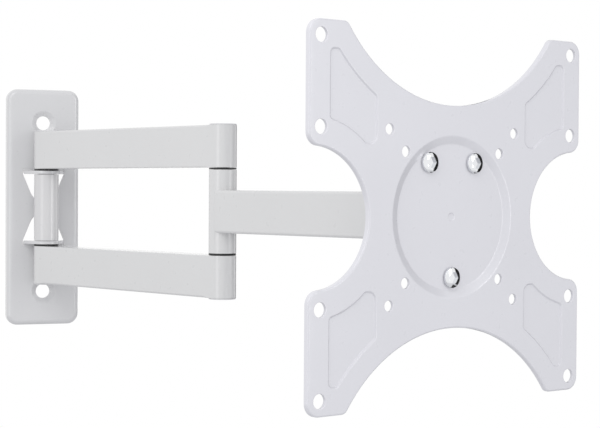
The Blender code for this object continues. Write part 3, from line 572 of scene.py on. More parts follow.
def paint(name, colour):
    """White powder coat: a fine orange peel over a faintly uneven tone, under a smooth skin."""
    made = Nodes(name, roughness=0.4, metallic=0)
    made.tint(made.noise(scale=14), shade(colour, 0.985), shade(colour, 1.012))
    made.rough(made.noise(scale=220, detail=3), low=0.27, high=0.35)
    made.shader.inputs["Specular IOR Level"].default_value = 0.4
    made.shader.inputs["Coat Weight"].default_value = 0.8
    made.shader.inputs["Coat Roughness"].default_value = 0.12
    peel = made.bump(made.noise(scale=620), strength=0.06, distance=0.03 * MM)
    made.bump(made.noise(scale=2600, detail=1), strength=0.03, distance=0.01 * MM, before=peel)
    return made.material


def plastic(name, colour, grain):
    """Moulded plastic with a fine even grain."""
    made = Nodes(name, roughness=0.45, metallic=0)
    made.tint(made.noise(scale=60), shade(colour, 0.96), shade(colour, 1.03))
    made.rough(made.noise(scale=500), low=0.38, high=0.55)
    made.bump(made.noise(scale=grain), strength=0.10, distance=0.02 * MM)
    return made.material


def zinc(name):
    """Zinc plating: a cool and a warm cast in patches, with a fine grain."""
    made = Nodes(name, roughness=0.32, metallic=1)
    made.tint(made.noise(scale=180, detail=3), (0.56, 0.58, 0.60), (0.66, 0.65, 0.61))
    made.rough(made.noise(scale=900, detail=3), low=0.24, high=0.40)
    made.bump(made.noise(scale=3000), strength=0.12, distance=0.01 * MM)
    return made.material


def chrome(name):
    """Bright plating with the faintest unevenness."""
    made = Nodes(name, roughness=0.08, metallic=1)
    made.tint(made.noise(scale=90), (0.80, 0.81, 0.83), (0.86, 0.87, 0.89))
    made.rough(made.noise(scale=700), low=0.05, high=0.11)
    made.bump(made.noise(scale=2400, detail=1), strength=0.03, distance=0.01 * MM)
    return made.material


PLATE_PAINT = paint("plate_paint", (0.745, 0.743, 0.785))
ARM_PAINT = paint("arm_paint", (0.70, 0.70, 0.70))
PAN_PAINT = paint("wall_plate_paint", (0.68, 0.68, 0.69))
BARREL_PAINT = paint("barrel_paint", (0.685, 0.68, 0.685))
NYLON = plastic("black_nylon", (0.013, 0.013, 0.014), grain=1500)
CAP_PLASTIC = plastic("white_plastic", (0.70, 0.70, 0.71), grain=1100)
ZINC = zinc("zinc_steel")
CHROME = chrome("chrome")


# Wall plate

def ear_outline(grow, root):
    """The lanced tongue laid flat: across, and down the tongue from the start of its fold."""
    foot = EAR_FOOT / 2 + grow
    radius = EAR_TIP_RADIUS + grow
    centre = EAR_FOLD + PIVOT_STANDOFF - BEND_RADIUS
    reach = math.hypot(foot, centre - EAR_FOLD)
    tangent = math.acos(radius / reach) - math.atan2(centre - EAR_FOLD, foot)
    tip = arc((0, centre), radius, tangent, math.pi - tangent, CURVE_STEPS)
    downs = [-root] + [EAR_FOLD * k / FOLD_STEPS for k in range(1, FOLD_STEPS + 1)]
    return [(foot, down) for down in downs] + tip + [(-foot, down) for down in reversed(downs)]


def lanced_ear(skin, side):
    """Cuts one tongue free on three sides and folds it out of the pan; returns the opening's two loops."""

    def flat(across, down, depth):
        return (across, depth - PAN_DEPTH, side * (SEAT_HEIGHT + BEND_RADIUS - down))

    def bent(across, down, depth):
        turn = min(max(down, 0), EAR_FOLD) / EAR_FOLD * math.pi / 2
        radius = BEND_RADIUS + depth
        y = radius * math.cos(turn) - PAN_DEPTH - BEND_RADIUS - max(down - EAR_FOLD, 0)
        z = SEAT_HEIGHT + BEND_RADIUS - radius * math.sin(turn) - min(down, 0)
        return (across, y, side * z)

    rings = []
    collar = 2 * SHEET_EDGE
    section = [(collar, 0, 0), (0, 0, SHEET_EDGE), (0, PAN_SHEET, SHEET_EDGE), (collar, PAN_SHEET, 0)]
    for inset, depth in rounded(section, EDGE_STEPS):
        opening = ear_outline(LANCE_GAP + inset, inset)
        tongue = reversed(ear_outline(-inset, inset))
        rings.append([flat(*point, depth) for point in opening] + [bent(*point, depth) for point in tongue])
    loops = skin.strip(rings)
    middle = EAR_FOLD + PIVOT_STANDOFF - BEND_RADIUS
    bores = skin.hole(bore(BUSH_BORE_RADIUS, 0, PAN_SHEET),
                      lambda across, down, depth: bent(across, middle + down, depth))
    openings = []
    for loop, ring in zip((loops[0], loops[-1]), bores):
        opening, tongue = loop[:len(loop) // 2], loop[len(loop) // 2:]
        for k in range(FOLD_STEPS):
            skin.bm.faces.new((tongue[k], tongue[k + 1], tongue[-2 - k], tongue[-1 - k]))
        skin.fill(X, Y, tongue[FOLD_STEPS:-FOLD_STEPS], ring)
        openings.append(opening + [tongue[0], tongue[-1]])
    return openings


def wall_plate():
    floor = PAN_DEPTH - PAN_SHEET
    flat = 1.5 * MM
    edge, bend, back_bend = 0.5 * MM, 2.2 * MM, 0.8 * MM
    collar = PAN_RIM + flat
    section = rounded([(collar, -PAN_DEPTH, 0), (0, -PAN_DEPTH, PAN_RIM), (0, 0, edge), (PAN_SHEET, 0, edge),
                       (PAN_SHEET, -floor, PAN_RIM - PAN_SHEET), (collar, -floor, 0)], SHEET_STEPS)
    skin = Skin()
    rings = skin.strip([[(x, y, z) for x, z in rectangle(PAN_WIDTH - 2 * inset, PAN_HEIGHT - 2 * inset,
                                                         PAN_CORNER - inset)] for inset, y in section])
    front, back = [rings[0]], [rings[-1]]
    foot = DIMPLE_RADIUS + DIMPLE_BACK_GROWTH
    lip = WALL_HOLE_RADIUS + DIMPLE_BACK_GROWTH + PAN_SHEET / 2
    behind = PAN_SHEET + DIMPLE_DEPTH
    dimple = rounded([(DIMPLE_RADIUS + DIMPLE_DEPTH, 0, 0), (DIMPLE_RADIUS, 0, bend),
                      (WALL_HOLE_RADIUS, DIMPLE_DEPTH, edge), (WALL_HOLE_RADIUS, behind, edge),
                      (lip, behind, back_bend), (foot, PAN_SHEET, back_bend), (foot + flat, PAN_SHEET, 0)],
                     PRESSING_STEPS)
    for height in (WALL_HOLE_HEIGHT, -WALL_HOLE_HEIGHT):
        loops = skin.hole(dimple, lambda x, up, depth: (x, depth - PAN_DEPTH, height + up), ROUND_STEPS)
        front.append(loops[0])
        back.append(loops[1])
    for side in (1, -1):
        first, last = lanced_ear(skin, side)
        front.append(first)
        back.append(last)
    skin.fill(X, Z, *front)
    skin.fill(X, Z, *back)
    piece("wall_plate_pressed", skin.done(), WALL, "wall", PAN_PAINT, "white_paint", "wall_plate")


# Tubes, knuckles and pivot hardware

def knuckle(half, seat):
    """A round tube with crisp rims, bored out at both ends for the bushes."""
    step = seat + FIT - BUSH_SLEEVE - BUSH_GAP
    ease = 0.2 * MM
    corners = [(BUSH_BORE_RADIUS, half, 0), (PIVOT_RADIUS, half, ease), (PIVOT_RADIUS, -half, ease),
               (BUSH_BORE_RADIUS, -half, 0), (BUSH_BORE_RADIUS, -step, 0), (KNUCKLE_BORE, -step, 0),
               (KNUCKLE_BORE, step, 0), (BUSH_BORE_RADIUS, step, 0)]
    return lathe(rounded(corners, EDGE_STEPS), closed=True)


def bush(node, seat, side, place, body):
    flange = PIVOT_RADIUS - BUSH_FLANGE_INSET
    ease = 0.1 * MM
    corners = [(BORE_RADIUS, BUSH_FLANGE, 0), (flange, BUSH_FLANGE, ease), (flange, 0, ease),
               (BUSH_RADIUS, 0, 0), (BUSH_RADIUS, -BUSH_SLEEVE, 0), (BORE_RADIUS, -BUSH_SLEEVE, 0)]
    item = lathe(rounded(corners, EDGE_STEPS), closed=True)
    if side < 0:
        moved(item, UPSIDE_DOWN)
    moved(item, at(0, 0, side * (seat + FIT)))
    piece(node + "_turned", item, place, body, NYLON, "black_nylon", node)


def bar_ring(at_ends, along_tube):
    """One loop round a link, from an (inset, height) of its edge at the round ends to one along the tube."""
    inset, z = at_ends
    points = [(x, y, z) for x, y in arc((0, 0), PIVOT_RADIUS - inset, 0, math.pi, CURVE_STEPS)]
    left = []
    for k in range(BLEND_STEPS + 1):
        share = k / BLEND_STEPS
        weight = share * share * (3 - 2 * share)
        inset = at_ends[0] + (along_tube[0] - at_ends[0]) * weight
        height = at_ends[1] + (along_tube[1] - at_ends[1]) * weight
        left.append((inset - PIVOT_RADIUS, -BLEND_START - BLEND_LENGTH * share, height))
    points += left + [(x, -LINK_LENGTH - y, height) for x, y, height in reversed(left)]
    points += [(-x, -LINK_LENGTH - y, z) for x, y, z in points]
    return points


def link(word, side):
    """One link: a smooth bar, crisp at its round ends and softer along the tube, with two counterbores."""
    deep = 3.0 * MM
    sections = []
    for inner, outer in (LINK_END_EASES, LINK_TUBE_EASES):
        sections.append(rounded([(deep, LINK_INNER, 0), (0, LINK_INNER, inner), (0, LINK_OUTER, outer),
                                 (deep, LINK_OUTER, 0)]))
    bar = lofted([bar_ring(tight, loose) for tight, loose in zip(*sections)])
    rim = 0.3 * MM
    mouth = COUNTERBORE_RADIUS + 2 * rim
    floor = LINK_OUTER - COUNTERBORE_DEPTH
    bore_profile = [(0, LINK_INNER - CUT), (BORE_RADIUS, LINK_INNER - CUT), (BORE_RADIUS, floor),
                    (COUNTERBORE_RADIUS, floor), (COUNTERBORE_RADIUS, LINK_OUTER - rim),
                    (mouth, LINK_OUTER + rim), (mouth, LINK_OUTER + CUT), (0, LINK_OUTER + CUT)]
    cut(bar, *[moved(lathe(bore_profile), at(0, y, 0)) for y in (0, -LINK_LENGTH)])
    if side < 0:
        moved(bar, Matrix.Scale(-1, 4, (0, 0, 1)))
        bar.data.flip_normals()
    piece(f"link_{word}_bar", bar, LINKS, "links", ARM_PAINT, "white_paint", f"link_{word}_tube",
          f"link_{word}_wall_sleeve", f"link_{word}_elbow_sleeve")


def link_cap(word, end, side, y):
    """A cover with an eased rim that lies on the link's end, a faintly sunk face and a plugging skirt."""
    rim = PIVOT_RADIUS - CAP_INSET
    skirt = COUNTERBORE_RADIUS - FIT
    hollow = skirt - CAP_SKIRT_WALL
    seat = LINK_OUTER + CAP_GAP
    top = LINK_OUTER + FIT + CAP_THICKNESS
    plug_end = LINK_OUTER + FIT - CAP_SKIRT
    sunk = top - 0.25 * MM
    face, brim = rim - 2.6 * MM, rim - 1.5 * MM
    face_bend, brim_bend, edge, foot = 2.0 * MM, 0.8 * MM, 0.45 * MM, 0.08 * MM
    corners = [(0, sunk, 0), (face, sunk, face_bend), (brim, top, brim_bend), (rim, top, edge),
               (rim, seat, foot), (skirt, seat, 0), (skirt, plug_end, 0), (hollow, plug_end, 0),
               (hollow, seat, 0), (0, seat, 0)]
    item = lathe(rounded(corners, SMALL_PRESSING_STEPS))
    if side < 0:
        moved(item, UPSIDE_DOWN)
    moved(item, at(0, y, 0))
    node = f"link_{word}_{end}_cap"
    piece(node + "_cover", item, LINKS, "links", CAP_PLASTIC, "white_plastic", node)


def arms():
    for word, side in (("upper", 1), ("lower", -1)):
        link(word, side)
        link_cap(word, "wall", side, 0)
        link_cap(word, "elbow", side, -LINK_LENGTH)
        bush(f"wall_bush_{word}", SEAT_HEIGHT, side, at(0, WALL_PIVOT_Y, 0), "wall")
        bush(f"elbow_bush_{word}", SEAT_HEIGHT, side, FOREARM, "forearm")
        bush(f"head_bush_{word}", HEAD_SEAT, side, FOREARM @ along(FOREARM_LENGTH), "forearm")
    barrel = knuckle(SEAT_HEIGHT - PAN_SHEET - FIT, SEAT_HEIGHT)
    piece("wall_barrel_turned", barrel, at(0, WALL_PIVOT_Y, 0), "wall", BARREL_PAINT, "white_paint",
          "wall_barrel")
    setback = 2.6 * MM
    bar = slab(rectangle(TUBE_WIDTH, TUBE_HEIGHT, TUBE_CORNER), -(FOREARM_LENGTH - setback), -setback)
    add(bar, knuckle(SEAT_HEIGHT, SEAT_HEIGHT))
    add(bar, moved(knuckle(HEAD_SEAT, HEAD_SEAT), along(FOREARM_LENGTH)))
    piece("forearm_bar", bar, FOREARM, "forearm", ARM_PAINT, "white_paint", "forearm_tube", "elbow_knuckle",
          "head_knuckle")


# Fasteners

def hexagon(flats, start, end):
    return lathe([(0, start), (flats / math.sqrt(3), start), (flats / math.sqrt(3), end), (0, end)], 6)


def chamfered_hexagon(flats, start, end, lower, upper):
    """A hexagon whose corners are turned off at the ends that are asked for."""
    wide = flats / math.sqrt(3) + CHAMFER_REACH
    narrow = flats / 2 * CHAMFER_SHARE
    turn = [(0, start if lower else start - CUT)]
    turn += [(narrow, start), (wide, start + CHAMFER_DROP)] if lower else [(wide, start - CUT)]
    turn += [(wide, end - CHAMFER_DROP), (narrow, end)] if upper else [(wide, end + CUT)]
    turn.append((0, end if upper else end + CUT))
    blank = hexagon(flats, start - CUT if lower else start, end + CUT if upper else end)
    return trim(blank, lathe(turn, SMALL_STEPS))


def threaded(radius, tip):
    """A bolt's chamfered end at tip, with rings of thread above it."""
    pitch, depth = 1.25 * MM, 0.55 * MM
    start = tip + TIP_CHAMFER
    profile = []
    z = tip + THREAD_LENGTH
    while z > start + pitch / 2:
        profile += [(radius, z), (radius - depth, z - pitch / 2)]
        z -= pitch
    profile += [(radius - depth / 2, start), (radius - depth, tip), (0, tip)]
    return profile


def nut_with_collar(node, seat, place, body):
    """A locking nut: chamfered hexagon, and a rolled collar that holds a ring."""
    hexagon_end = seat - NUT_HEIGHT + NUT_COLLAR_HEIGHT
    nut = chamfered_hexagon(HEX_FLATS, hexagon_end, seat, lower=True, upper=True)
    end = seat - NUT_HEIGHT
    roll = 1.0 * MM
    collar = rounded([(0, hexagon_end + CUT, 0), (NUT_COLLAR_RADIUS, hexagon_end + CUT, 0),
                      (NUT_COLLAR_RADIUS, end, roll), (0, end, 0)], SMALL_PRESSING_STEPS)
    add(nut, lathe(collar, SMALL_STEPS))
    mouth, throat, step = BORE_RADIUS + 0.8 * MM, BORE_RADIUS + 0.5 * MM, 0.3 * MM
    cut(nut, lathe([(0, end - CUT), (mouth, end - CUT), (throat, end + step), (BORE_RADIUS, end + 2 * step),
                    (BORE_RADIUS, seat + CUT), (0, seat + CUT)], SMALL_STEPS))
    piece(node + "_turned", nut, place, body, ZINC, "zinc_steel", node)


def bolt_and_nut(word, seat, place, body):
    """A hexagon bolt along Z and its nut, which close on a seat at each end."""
    head = chamfered_hexagon(HEX_FLATS, seat, seat + HEX_HEAD_HEIGHT, lower=False, upper=True)
    tail = -seat - NUT_HEIGHT - BOLT_TAIL
    shank = [(0, seat + CUT), (BOLT_RADIUS, seat + CUT)] + threaded(BOLT_RADIUS, tail)
    add(head, lathe(shank, SMALL_STEPS))
    piece(f"{word}_bolt_turned", head, place, body, ZINC, "zinc_steel", f"{word}_bolt")
    nut_with_collar(f"{word}_nut", -seat, place, body)


def eased_ring(radius, low, high):
    """A flat ring round a bolt along Z, with eased outer edges."""
    corners = [(BORE_RADIUS, high, 0), (radius, high, FIT), (radius, low, FIT), (BORE_RADIUS, low, 0)]
    return lathe(rounded(corners, TINY_STEPS), SMALL_STEPS, closed=True)


# Head

def channel_outline(across, back, reach):
    way = 1 if reach > back else -1
    inside = across - HEAD_SHEET
    outer_radius = BEND_RADIUS + HEAD_SHEET
    web_inside = back + way * HEAD_SHEET
    return rounded([(-across, reach, 0), (-across, back, outer_radius), (across, back, outer_radius),
                    (across, reach, 0), (inside, reach, 0), (inside, web_inside, BEND_RADIUS),
                    (-inside, web_inside, BEND_RADIUS), (-inside, reach, 0)], CORNER_STEPS)


def strip_outline(root, radius, centre):
    way = 1 if centre > root else -1
    tip = [(centre + way * forward, across)
           for forward, across in arc((0, 0), radius, -math.pi / 2, math.pi / 2, CURVE_STEPS)]
    return [(root, -radius)] + tip + [(root, radius)]


def swapped(outline):
    return [(second, first) for first, second in outline]


def yoke():
    half = YOKE_WIDTH / 2
    width = YOKE_LEG_RADIUS + CUT
    height = YOKE_EAR_RADIUS + CUT
    sheet = slab(swapped(channel_outline(LEG_OUTER, -YOKE_WEB_FRONT, width)), -width, width, "x")
    plan = swapped(strip_outline(-YOKE_WEB_FRONT - CUT, YOKE_LEG_RADIUS, 0))
    trim(sheet, slab(plan, -LEG_OUTER - CUT, LEG_OUTER + CUT, "z"))
    ears = slab(channel_outline(half, -YOKE_WEB_DISTANCE, -TILT_AXIS_DISTANCE - height), -height, height, "z")
    side = strip_outline(-YOKE_WEB_DISTANCE + CUT, YOKE_EAR_RADIUS, -TILT_AXIS_DISTANCE)
    trim(ears, slab(side, -half - CUT, half + CUT, "x"))
    add(sheet, ears)
    cut(sheet, spool(BORE_RADIUS, -LEG_OUTER, LEG_OUTER))
    cut(sheet, moved(spool(BORE_RADIUS, -half, half), TO_X, along(TILT_AXIS_DISTANCE)))
    soften(sheet)
    piece("swivel_yoke_folded", sheet, YOKE, "yoke", ARM_PAINT, "white_paint", "swivel_yoke")


def tilt_bracket():
    half = BRACKET_HEIGHT / 2
    reach = CHEEK_RADIUS + CUT
    bracket = slab(channel_outline(CHEEK_OUTER, BRACKET_WEB_Y, reach), -half - CUT, half + CUT, "z")
    fold = BRACKET_WEB_Y + HEAD_SHEET + BEND_RADIUS
    root = BRACKET_WEB_Y - CUT
    round_end = arc((0, 0), CHEEK_RADIUS, math.pi / 2, -math.pi / 2, CURVE_STEPS)
    side = [(root, -half), (root, half), (fold, half), *round_end, (fold, -half)]
    trim(bracket, slab(side, -CHEEK_OUTER - CUT, CHEEK_OUTER + CUT, "x"))
    cut(bracket, moved(spool(BORE_RADIUS, -CHEEK_OUTER, CHEEK_OUTER), TO_X))
    soften(bracket)
    piece("tilt_bracket_folded", bracket, HEAD, "head", PLATE_PAINT, "white_paint", "tilt_bracket")


def screw_places():
    return [(SCREW_CIRCLE * math.cos(angle), SCREW_CIRCLE * math.sin(angle) + SCREW_RISE)
            for angle in SCREW_ANGLES]


def mount_disc():
    ease = 0.4 * MM
    disc = lathe(rounded([(0, 0, 0), (MOUNT_DISC_RADIUS, 0, ease), (MOUNT_DISC_RADIUS, HEAD_SHEET, ease),
                          (0, HEAD_SHEET, 0)], EDGE_STEPS))
    holes = [moved(spool(SCREW_RADIUS + FIT, 0, HEAD_SHEET), at(x, -z, 0)) for x, z in screw_places()]
    cut(disc, spool(MOUNT_DISC_HOLE_RADIUS, 0, HEAD_SHEET), *holes)
    moved(disc, TO_Y, at(0, MOUNT_DISC_Y, 0))
    piece("mount_disc_pressed", disc, HEAD, "head", PLATE_PAINT, "white_paint", "mount_disc")


def head_hardware():
    bolt_and_nut("head_pivot", LEG_OUTER + FIT, YOKE, "yoke")
    reach = YOKE_WIDTH / 2 - HEAD_SHEET - FIT
    piece("tilt_spacer_turned", eased_ring(SPACER_RADIUS, -reach, reach),
          YOKE @ along(TILT_AXIS_DISTANCE) @ TO_X, "yoke", ZINC, "zinc_steel", "tilt_spacer")
    bolt_and_nut("tilt", CHEEK_OUTER + FIT, HEAD @ TO_X, "head")
    start = YOKE_WIDTH / 2 + FIT
    for word, side in (("right", 1), ("left", -1)):
        low, high = sorted((side * start, side * (start + FRICTION_WASHER)))
        node = f"friction_washer_{word}"
        washer = eased_ring(FRICTION_WASHER_RADIUS, low, high)
        piece(node + "_cut", washer, HEAD @ TO_X, "head", NYLON, "black_nylon", node)


# Television plate

def plate_outline(inset):
    right = PLATE_HALF_WIDTH - inset
    top = PLATE_HALF_HEIGHT - inset
    corner = PLATE_CORNER - inset
    fillet = PLATE_ARCH_FILLET - inset
    waist = WAIST_RADIUS + inset
    arch = ARCH_RADIUS + inset
    side_x = right - corner
    side_z = math.sqrt((waist + corner) ** 2 - (side_x - WAIST_CENTRE) ** 2)
    meet = math.atan2(side_z, side_x - WAIST_CENTRE)
    quarter = [(WAIST_CENTRE - waist, 0)] + arc((WAIST_CENTRE, 0), waist, math.pi, meet, CURVE_STEPS)[1:-1]
    quarter += arc((side_x, side_z), corner, meet - math.pi, 0, CORNER_STEPS)
    quarter += arc((side_x, top - corner), corner, 0, math.pi / 2, CORNER_STEPS)
    top_z = top - fillet
    top_x = math.sqrt((arch + fillet) ** 2 - (ARCH_CENTRE - top_z) ** 2)
    meet = math.atan2(top_z - ARCH_CENTRE, top_x)
    quarter += arc((top_x, top_z), fillet, math.pi / 2, meet + math.pi, CORNER_STEPS)
    quarter += arc((0, ARCH_CENTRE), arch, meet, -math.pi / 2, CURVE_STEPS)[1:]
    return four_quarters(quarter[:-1] + [(0, ARCH_CENTRE - arch)])


def panel_outline(grow):
    """A sunk panel between the waist's and the arch's curves, every corner with a tangent fillet."""
    inner, outer = PANEL_INNER - grow, PANEL_OUTER + grow
    foot, head = PANEL_FOOT - grow, PANEL_HEAD + grow
    waist = WAIST_RADIUS + PANEL_WAIST_OFFSET - grow
    arch = ARCH_RADIUS + PANEL_ARCH_OFFSET - grow
    fillet, heel = PANEL_FILLET + grow, PANEL_FOOT_FILLET + grow
    toe_x = WAIST_CENTRE - math.sqrt((waist + fillet) ** 2 - (foot + fillet) ** 2)
    toe = math.atan2(foot + fillet, toe_x - WAIST_CENTRE)
    side_x = outer - fillet
    side_z = math.sqrt((waist + fillet) ** 2 - (side_x - WAIST_CENTRE) ** 2)
    side = math.atan2(side_z, side_x - WAIST_CENTRE)
    top_z = head - fillet
    top_x = math.sqrt((arch + fillet) ** 2 - (top_z - ARCH_CENTRE) ** 2)
    top = math.atan2(top_z - ARCH_CENTRE, top_x)
    end_x = inner + fillet
    end_z = ARCH_CENTRE - math.sqrt((arch + fillet) ** 2 - end_x ** 2)
    end = math.atan2(end_z - ARCH_CENTRE, end_x)
    points = arc((inner + heel, foot + heel), heel, math.pi, 1.5 * math.pi, CORNER_STEPS)
    points += arc((toe_x, foot + fillet), fillet, -math.pi / 2, toe - math.pi, CORNER_STEPS)
    points += arc((WAIST_CENTRE, 0), waist, toe, side, CURVE_STEPS)[1:-1]
    points += arc((side_x, side_z), fillet, side - math.pi, 0, CORNER_STEPS)
    points += arc((side_x, top_z), fillet, 0, math.pi / 2, CORNER_STEPS)
    points += arc((top_x, top_z), fillet, math.pi / 2, top + math.pi, CORNER_STEPS)
    points += arc((0, ARCH_CENTRE), arch, top, end, CURVE_STEPS)[1:-1]
    return points + arc((end_x, end_z), fillet, end + math.pi, math.pi, CORNER_STEPS)


def vesa_holes():
    wide, low, small = 100.0 * MM, 50.0 * MM, 37.5 * MM
    quarter = [(wide, wide, LARGE_HOLE_RADIUS), (wide, low, LARGE_HOLE_RADIUS), (low, low, SMALL_HOLE_RADIUS),
               (small, small, SMALL_HOLE_RADIUS)]
    return [(x * across, z * up, radius) for x, z, radius in quarter for across in (1, -1) for up in (1, -1)]


def vesa_plate():
    """The front and back faces are flat regions round the dish, the panels and the holes."""
    collar = 3.2 * MM
    front_bend, edge, back_bend = 1.1 * MM, 0.3 * MM, 0.8 * MM
    section = rounded([(collar, PLATE_Y, 0), (0, PLATE_Y, front_bend), (0, PLATE_BACK, edge),
                       (PLATE_SHEET, PLATE_BACK, edge), (PLATE_SHEET, SHEET_BACK, back_bend),
                       (collar, SHEET_BACK, 0)], SHEET_STEPS)
    skin = Skin()
    rings = skin.strip([[(x, y, z) for x, z in plate_outline(inset)] for inset, y in section])
    front, back = [rings[0]], [rings[-1]]

    def on_face(x, z):
        return lambda across, up, depth: (x + across, PLATE_Y + depth, z + up)

    for x, z, radius in vesa_holes():
        first, last = skin.hole(bore(radius, 0, PLATE_SHEET), on_face(x, z))
        front.append(first)
        back.append(last)
    bend, flat = 0.6 * MM, 0.5 * MM
    for grown, top, side in ((0, 0, front), (PANEL_BACK_GROWTH, PLATE_SHEET, back)):
        slope = [(grown + flat, top, 0), (grown, top, bend), (grown - PANEL_DRAFT, top + PANEL_DEPTH, bend),
                 (grown - PANEL_DRAFT - flat, top + PANEL_DEPTH, 0)]
        levels = rounded(slope, SMALL_PRESSING_STEPS)
        for panel in zip(*(mirrored(panel_outline(grow)) for grow, depth in levels)):
            rings = skin.strip([[(x, PLATE_Y + depth, z) for x, z in outline]
                                for outline, (grow, depth) in zip(panel, levels)])
            side.append(rings[0])
            skin.fill(X, Z, rings[-1])
    floors = []
    for grown, top, side in ((0, 0, front), (DISH_BACK_GROWTH, PLATE_SHEET, back)):
        brim, floor = DISH_RADIUS + grown, DISH_FLOOR_RADIUS + grown
        slope = [(brim + DISH_LIP, top, 0), (brim, top, DISH_OUTER_BEND),
                 (floor, top + DISH_DEPTH, DISH_INNER_BEND), (floor - DISH_FLAT, top + DISH_DEPTH, 0)]
        first, last = skin.hole(rounded(slope, PRESSING_STEPS), on_face(0, 0), 2 * ROUND_STEPS)
        side.append(first)
        floors.append([last])
    for x, z in screw_places():
        loops = skin.hole(bore(SCREW_RADIUS + FIT, DISH_DEPTH, DISH_DEPTH + PLATE_SHEET), on_face(x, z))
        for floor, loop in zip(floors, loops):
            floor.append(loop)
    bottom = DISH_DEPTH + PIP_DEPTH
    pip = [(PIP_RADIUS + flat, DISH_DEPTH, 0), (PIP_RADIUS, DISH_DEPTH, edge),
           (PIP_RADIUS - PIP_DEPTH, bottom, edge), (PIP_RADIUS - 2 * PIP_DEPTH, bottom, 0)]
    first, last = skin.hole(rounded(pip, EDGE_STEPS), on_face(0, 0))
    floors[0].append(first)
    skin.fill(X, Z, last)
    for loops in (front, back, *floors):
        skin.fill(X, Z, *loops)
    piece("vesa_plate_pressed", skin.done(), HEAD, "head", PLATE_PAINT, "white_paint", "vesa_plate")


def dome(radius, top_radius, top, rim_radius):
    """(radius, height) points down a ball's surface from its flat top to the rim."""
    start, end = math.asin(top_radius / radius), math.asin(rim_radius / radius)
    angles = [start + (end - start) * k / FILLET_STEPS for k in range(1, FILLET_STEPS + 1)]
    middle = top - radius * math.cos(start)
    return [(radius * math.sin(angle), middle + radius * math.cos(angle)) for angle in angles]


def plate_screws():
    head = FIT + SCREW_HEAD_HEIGHT
    nut_face = MOUNT_DISC_Y + HEAD_SHEET + FIT
    tail = DISH_FLOOR_Y - nut_face - PLATE_NUT_HEIGHT - BOLT_TAIL
    lip = SCREW_SOCKET_FLATS / 2 - SCREW_SOCKET_LIP
    shape = [(0, head), (lip, head)] + dome(SCREW_DOME_RADIUS, lip, head, SCREW_HEAD_RADIUS)
    crown = [(*point, 0) for point in shape]
    crown[-1] = (*shape[-1], SCREW_RIM_EASE)
    crown = rounded(crown + [(SCREW_HEAD_RADIUS, FIT, 0), (SCREW_RADIUS, FIT, 0)], EDGE_STEPS)
    for number, (x, z) in enumerate(screw_places(), 1):
        screw = lathe(crown + threaded(SCREW_RADIUS, tail), SCREW_STEPS)
        cut(screw, hexagon(SCREW_SOCKET_FLATS, head - SCREW_SOCKET_DEPTH, head + CUT))
        stand = at(x, DISH_FLOOR_Y, z) @ FACING["y"]
        name = f"plate_screw_{number}"
        piece(name + "_turned", screw, HEAD @ stand, "head", CHROME, "chrome", name)
        nut = chamfered_hexagon(PLATE_NUT_FLATS, 0, PLATE_NUT_HEIGHT, lower=True, upper=True)
        cut(nut, spool(SCREW_RADIUS + FIT, 0, PLATE_NUT_HEIGHT, PLATE_NUT_FLARE))
        stand = at(x, nut_face, z) @ TO_Y
        name = f"plate_nut_{number}"
        piece(name + "_turned", nut, HEAD @ stand, "head", ZINC, "zinc_steel", name)


wall_plate()
arms()
yoke()
tilt_bracket()
mount_disc()
head_hardware()
vesa_plate()
plate_screws()
for node in ("wall_pivot_bolt", "wall_pivot_nut", "elbow_pivot_bolt", "elbow_pivot_nut"):
    shown = frame["nodes"][node]
    shown.data.materials.clear()
    shown.data.materials.append(ZINC)


# Stage, light and camera

FLOOR_REACH = 1.6
FLOOR_MIDDLE = (0.05, -0.2, -0.52)
FLOOR_COLOUR = (0.72, 0.72, 0.73)
CARD_COLOUR = (0.01, 0.01, 0.01)
SKY_COLOUR = (0.98, 0.985, 1.0)
SKY_STRENGTH = 0.77
CAMERA_TURN = math.radians(-20.6)
CAMERA_PITCH = math.radians(-0.956)
CAMERA_ROLL = math.radians(0.363)
PIVOT_SEEN = Vector((-199.305, 1201.34, -16.13))    # the wall pivot as the camera sees it, in millimetres
SENSOR_WIDTH = 36                                   # in millimetres, as the focal length
FOCAL_LENGTH = 91.758


def matt(name, colour):
    made = bpy.data.materials.new(name)
    made.use_nodes = True
    shader = made.node_tree.nodes["Principled BSDF"]
    shader.inputs["Base Color"].default_value = (*colour, 1)
    shader.inputs["Roughness"].default_value = 0.9
    return made


def floor():
    bm = bmesh.new()
    bmesh.ops.create_circle(bm, cap_ends=True, segments=ROUND_STEPS, radius=FLOOR_REACH)
    bmesh.ops.translate(bm, verts=bm.verts, vec=FLOOR_MIDDLE)
    item = solid(bm)
    item.name = "floor"
    item.data.materials.append(matt("floor", FLOOR_COLOUR))


def world():
    """Even light from all round, which the camera and shiny surfaces see as plain white."""
    made = bpy.data.worlds.new("studio")
    bpy.context.scene.world = made
    made.use_nodes = True
    tree = made.node_tree
    node, link = tree.nodes.new, tree.links.new
    background = tree.nodes["Background"]
    background.inputs["Color"].default_value = (*SKY_COLOUR, 1)
    background.inputs["Strength"].default_value = SKY_STRENGTH
    white = node("ShaderNodeBackground")
    white.inputs["Color"].default_value = (1, 1, 1, 1)
    white.inputs["Strength"].default_value = 1.0
    path = node("ShaderNodeLightPath")
    mix = node("ShaderNodeMixShader")
    seen = path.outputs["Is Camera Ray"]
    for kind in ("Is Glossy Ray", "Is Transmission Ray"):
        either = node("ShaderNodeMath")
        either.operation = "MAXIMUM"
        link(seen, either.inputs[0])
        link(path.outputs[kind], either.inputs[1])
        seen = either.outputs[0]
    link(seen, mix.inputs["Fac"])
    link(background.outputs["Background"], mix.inputs[1])
    link(white.outputs["Background"], mix.inputs[2])
    link(mix.outputs["Shader"], tree.nodes["World Output"].inputs["Surface"])


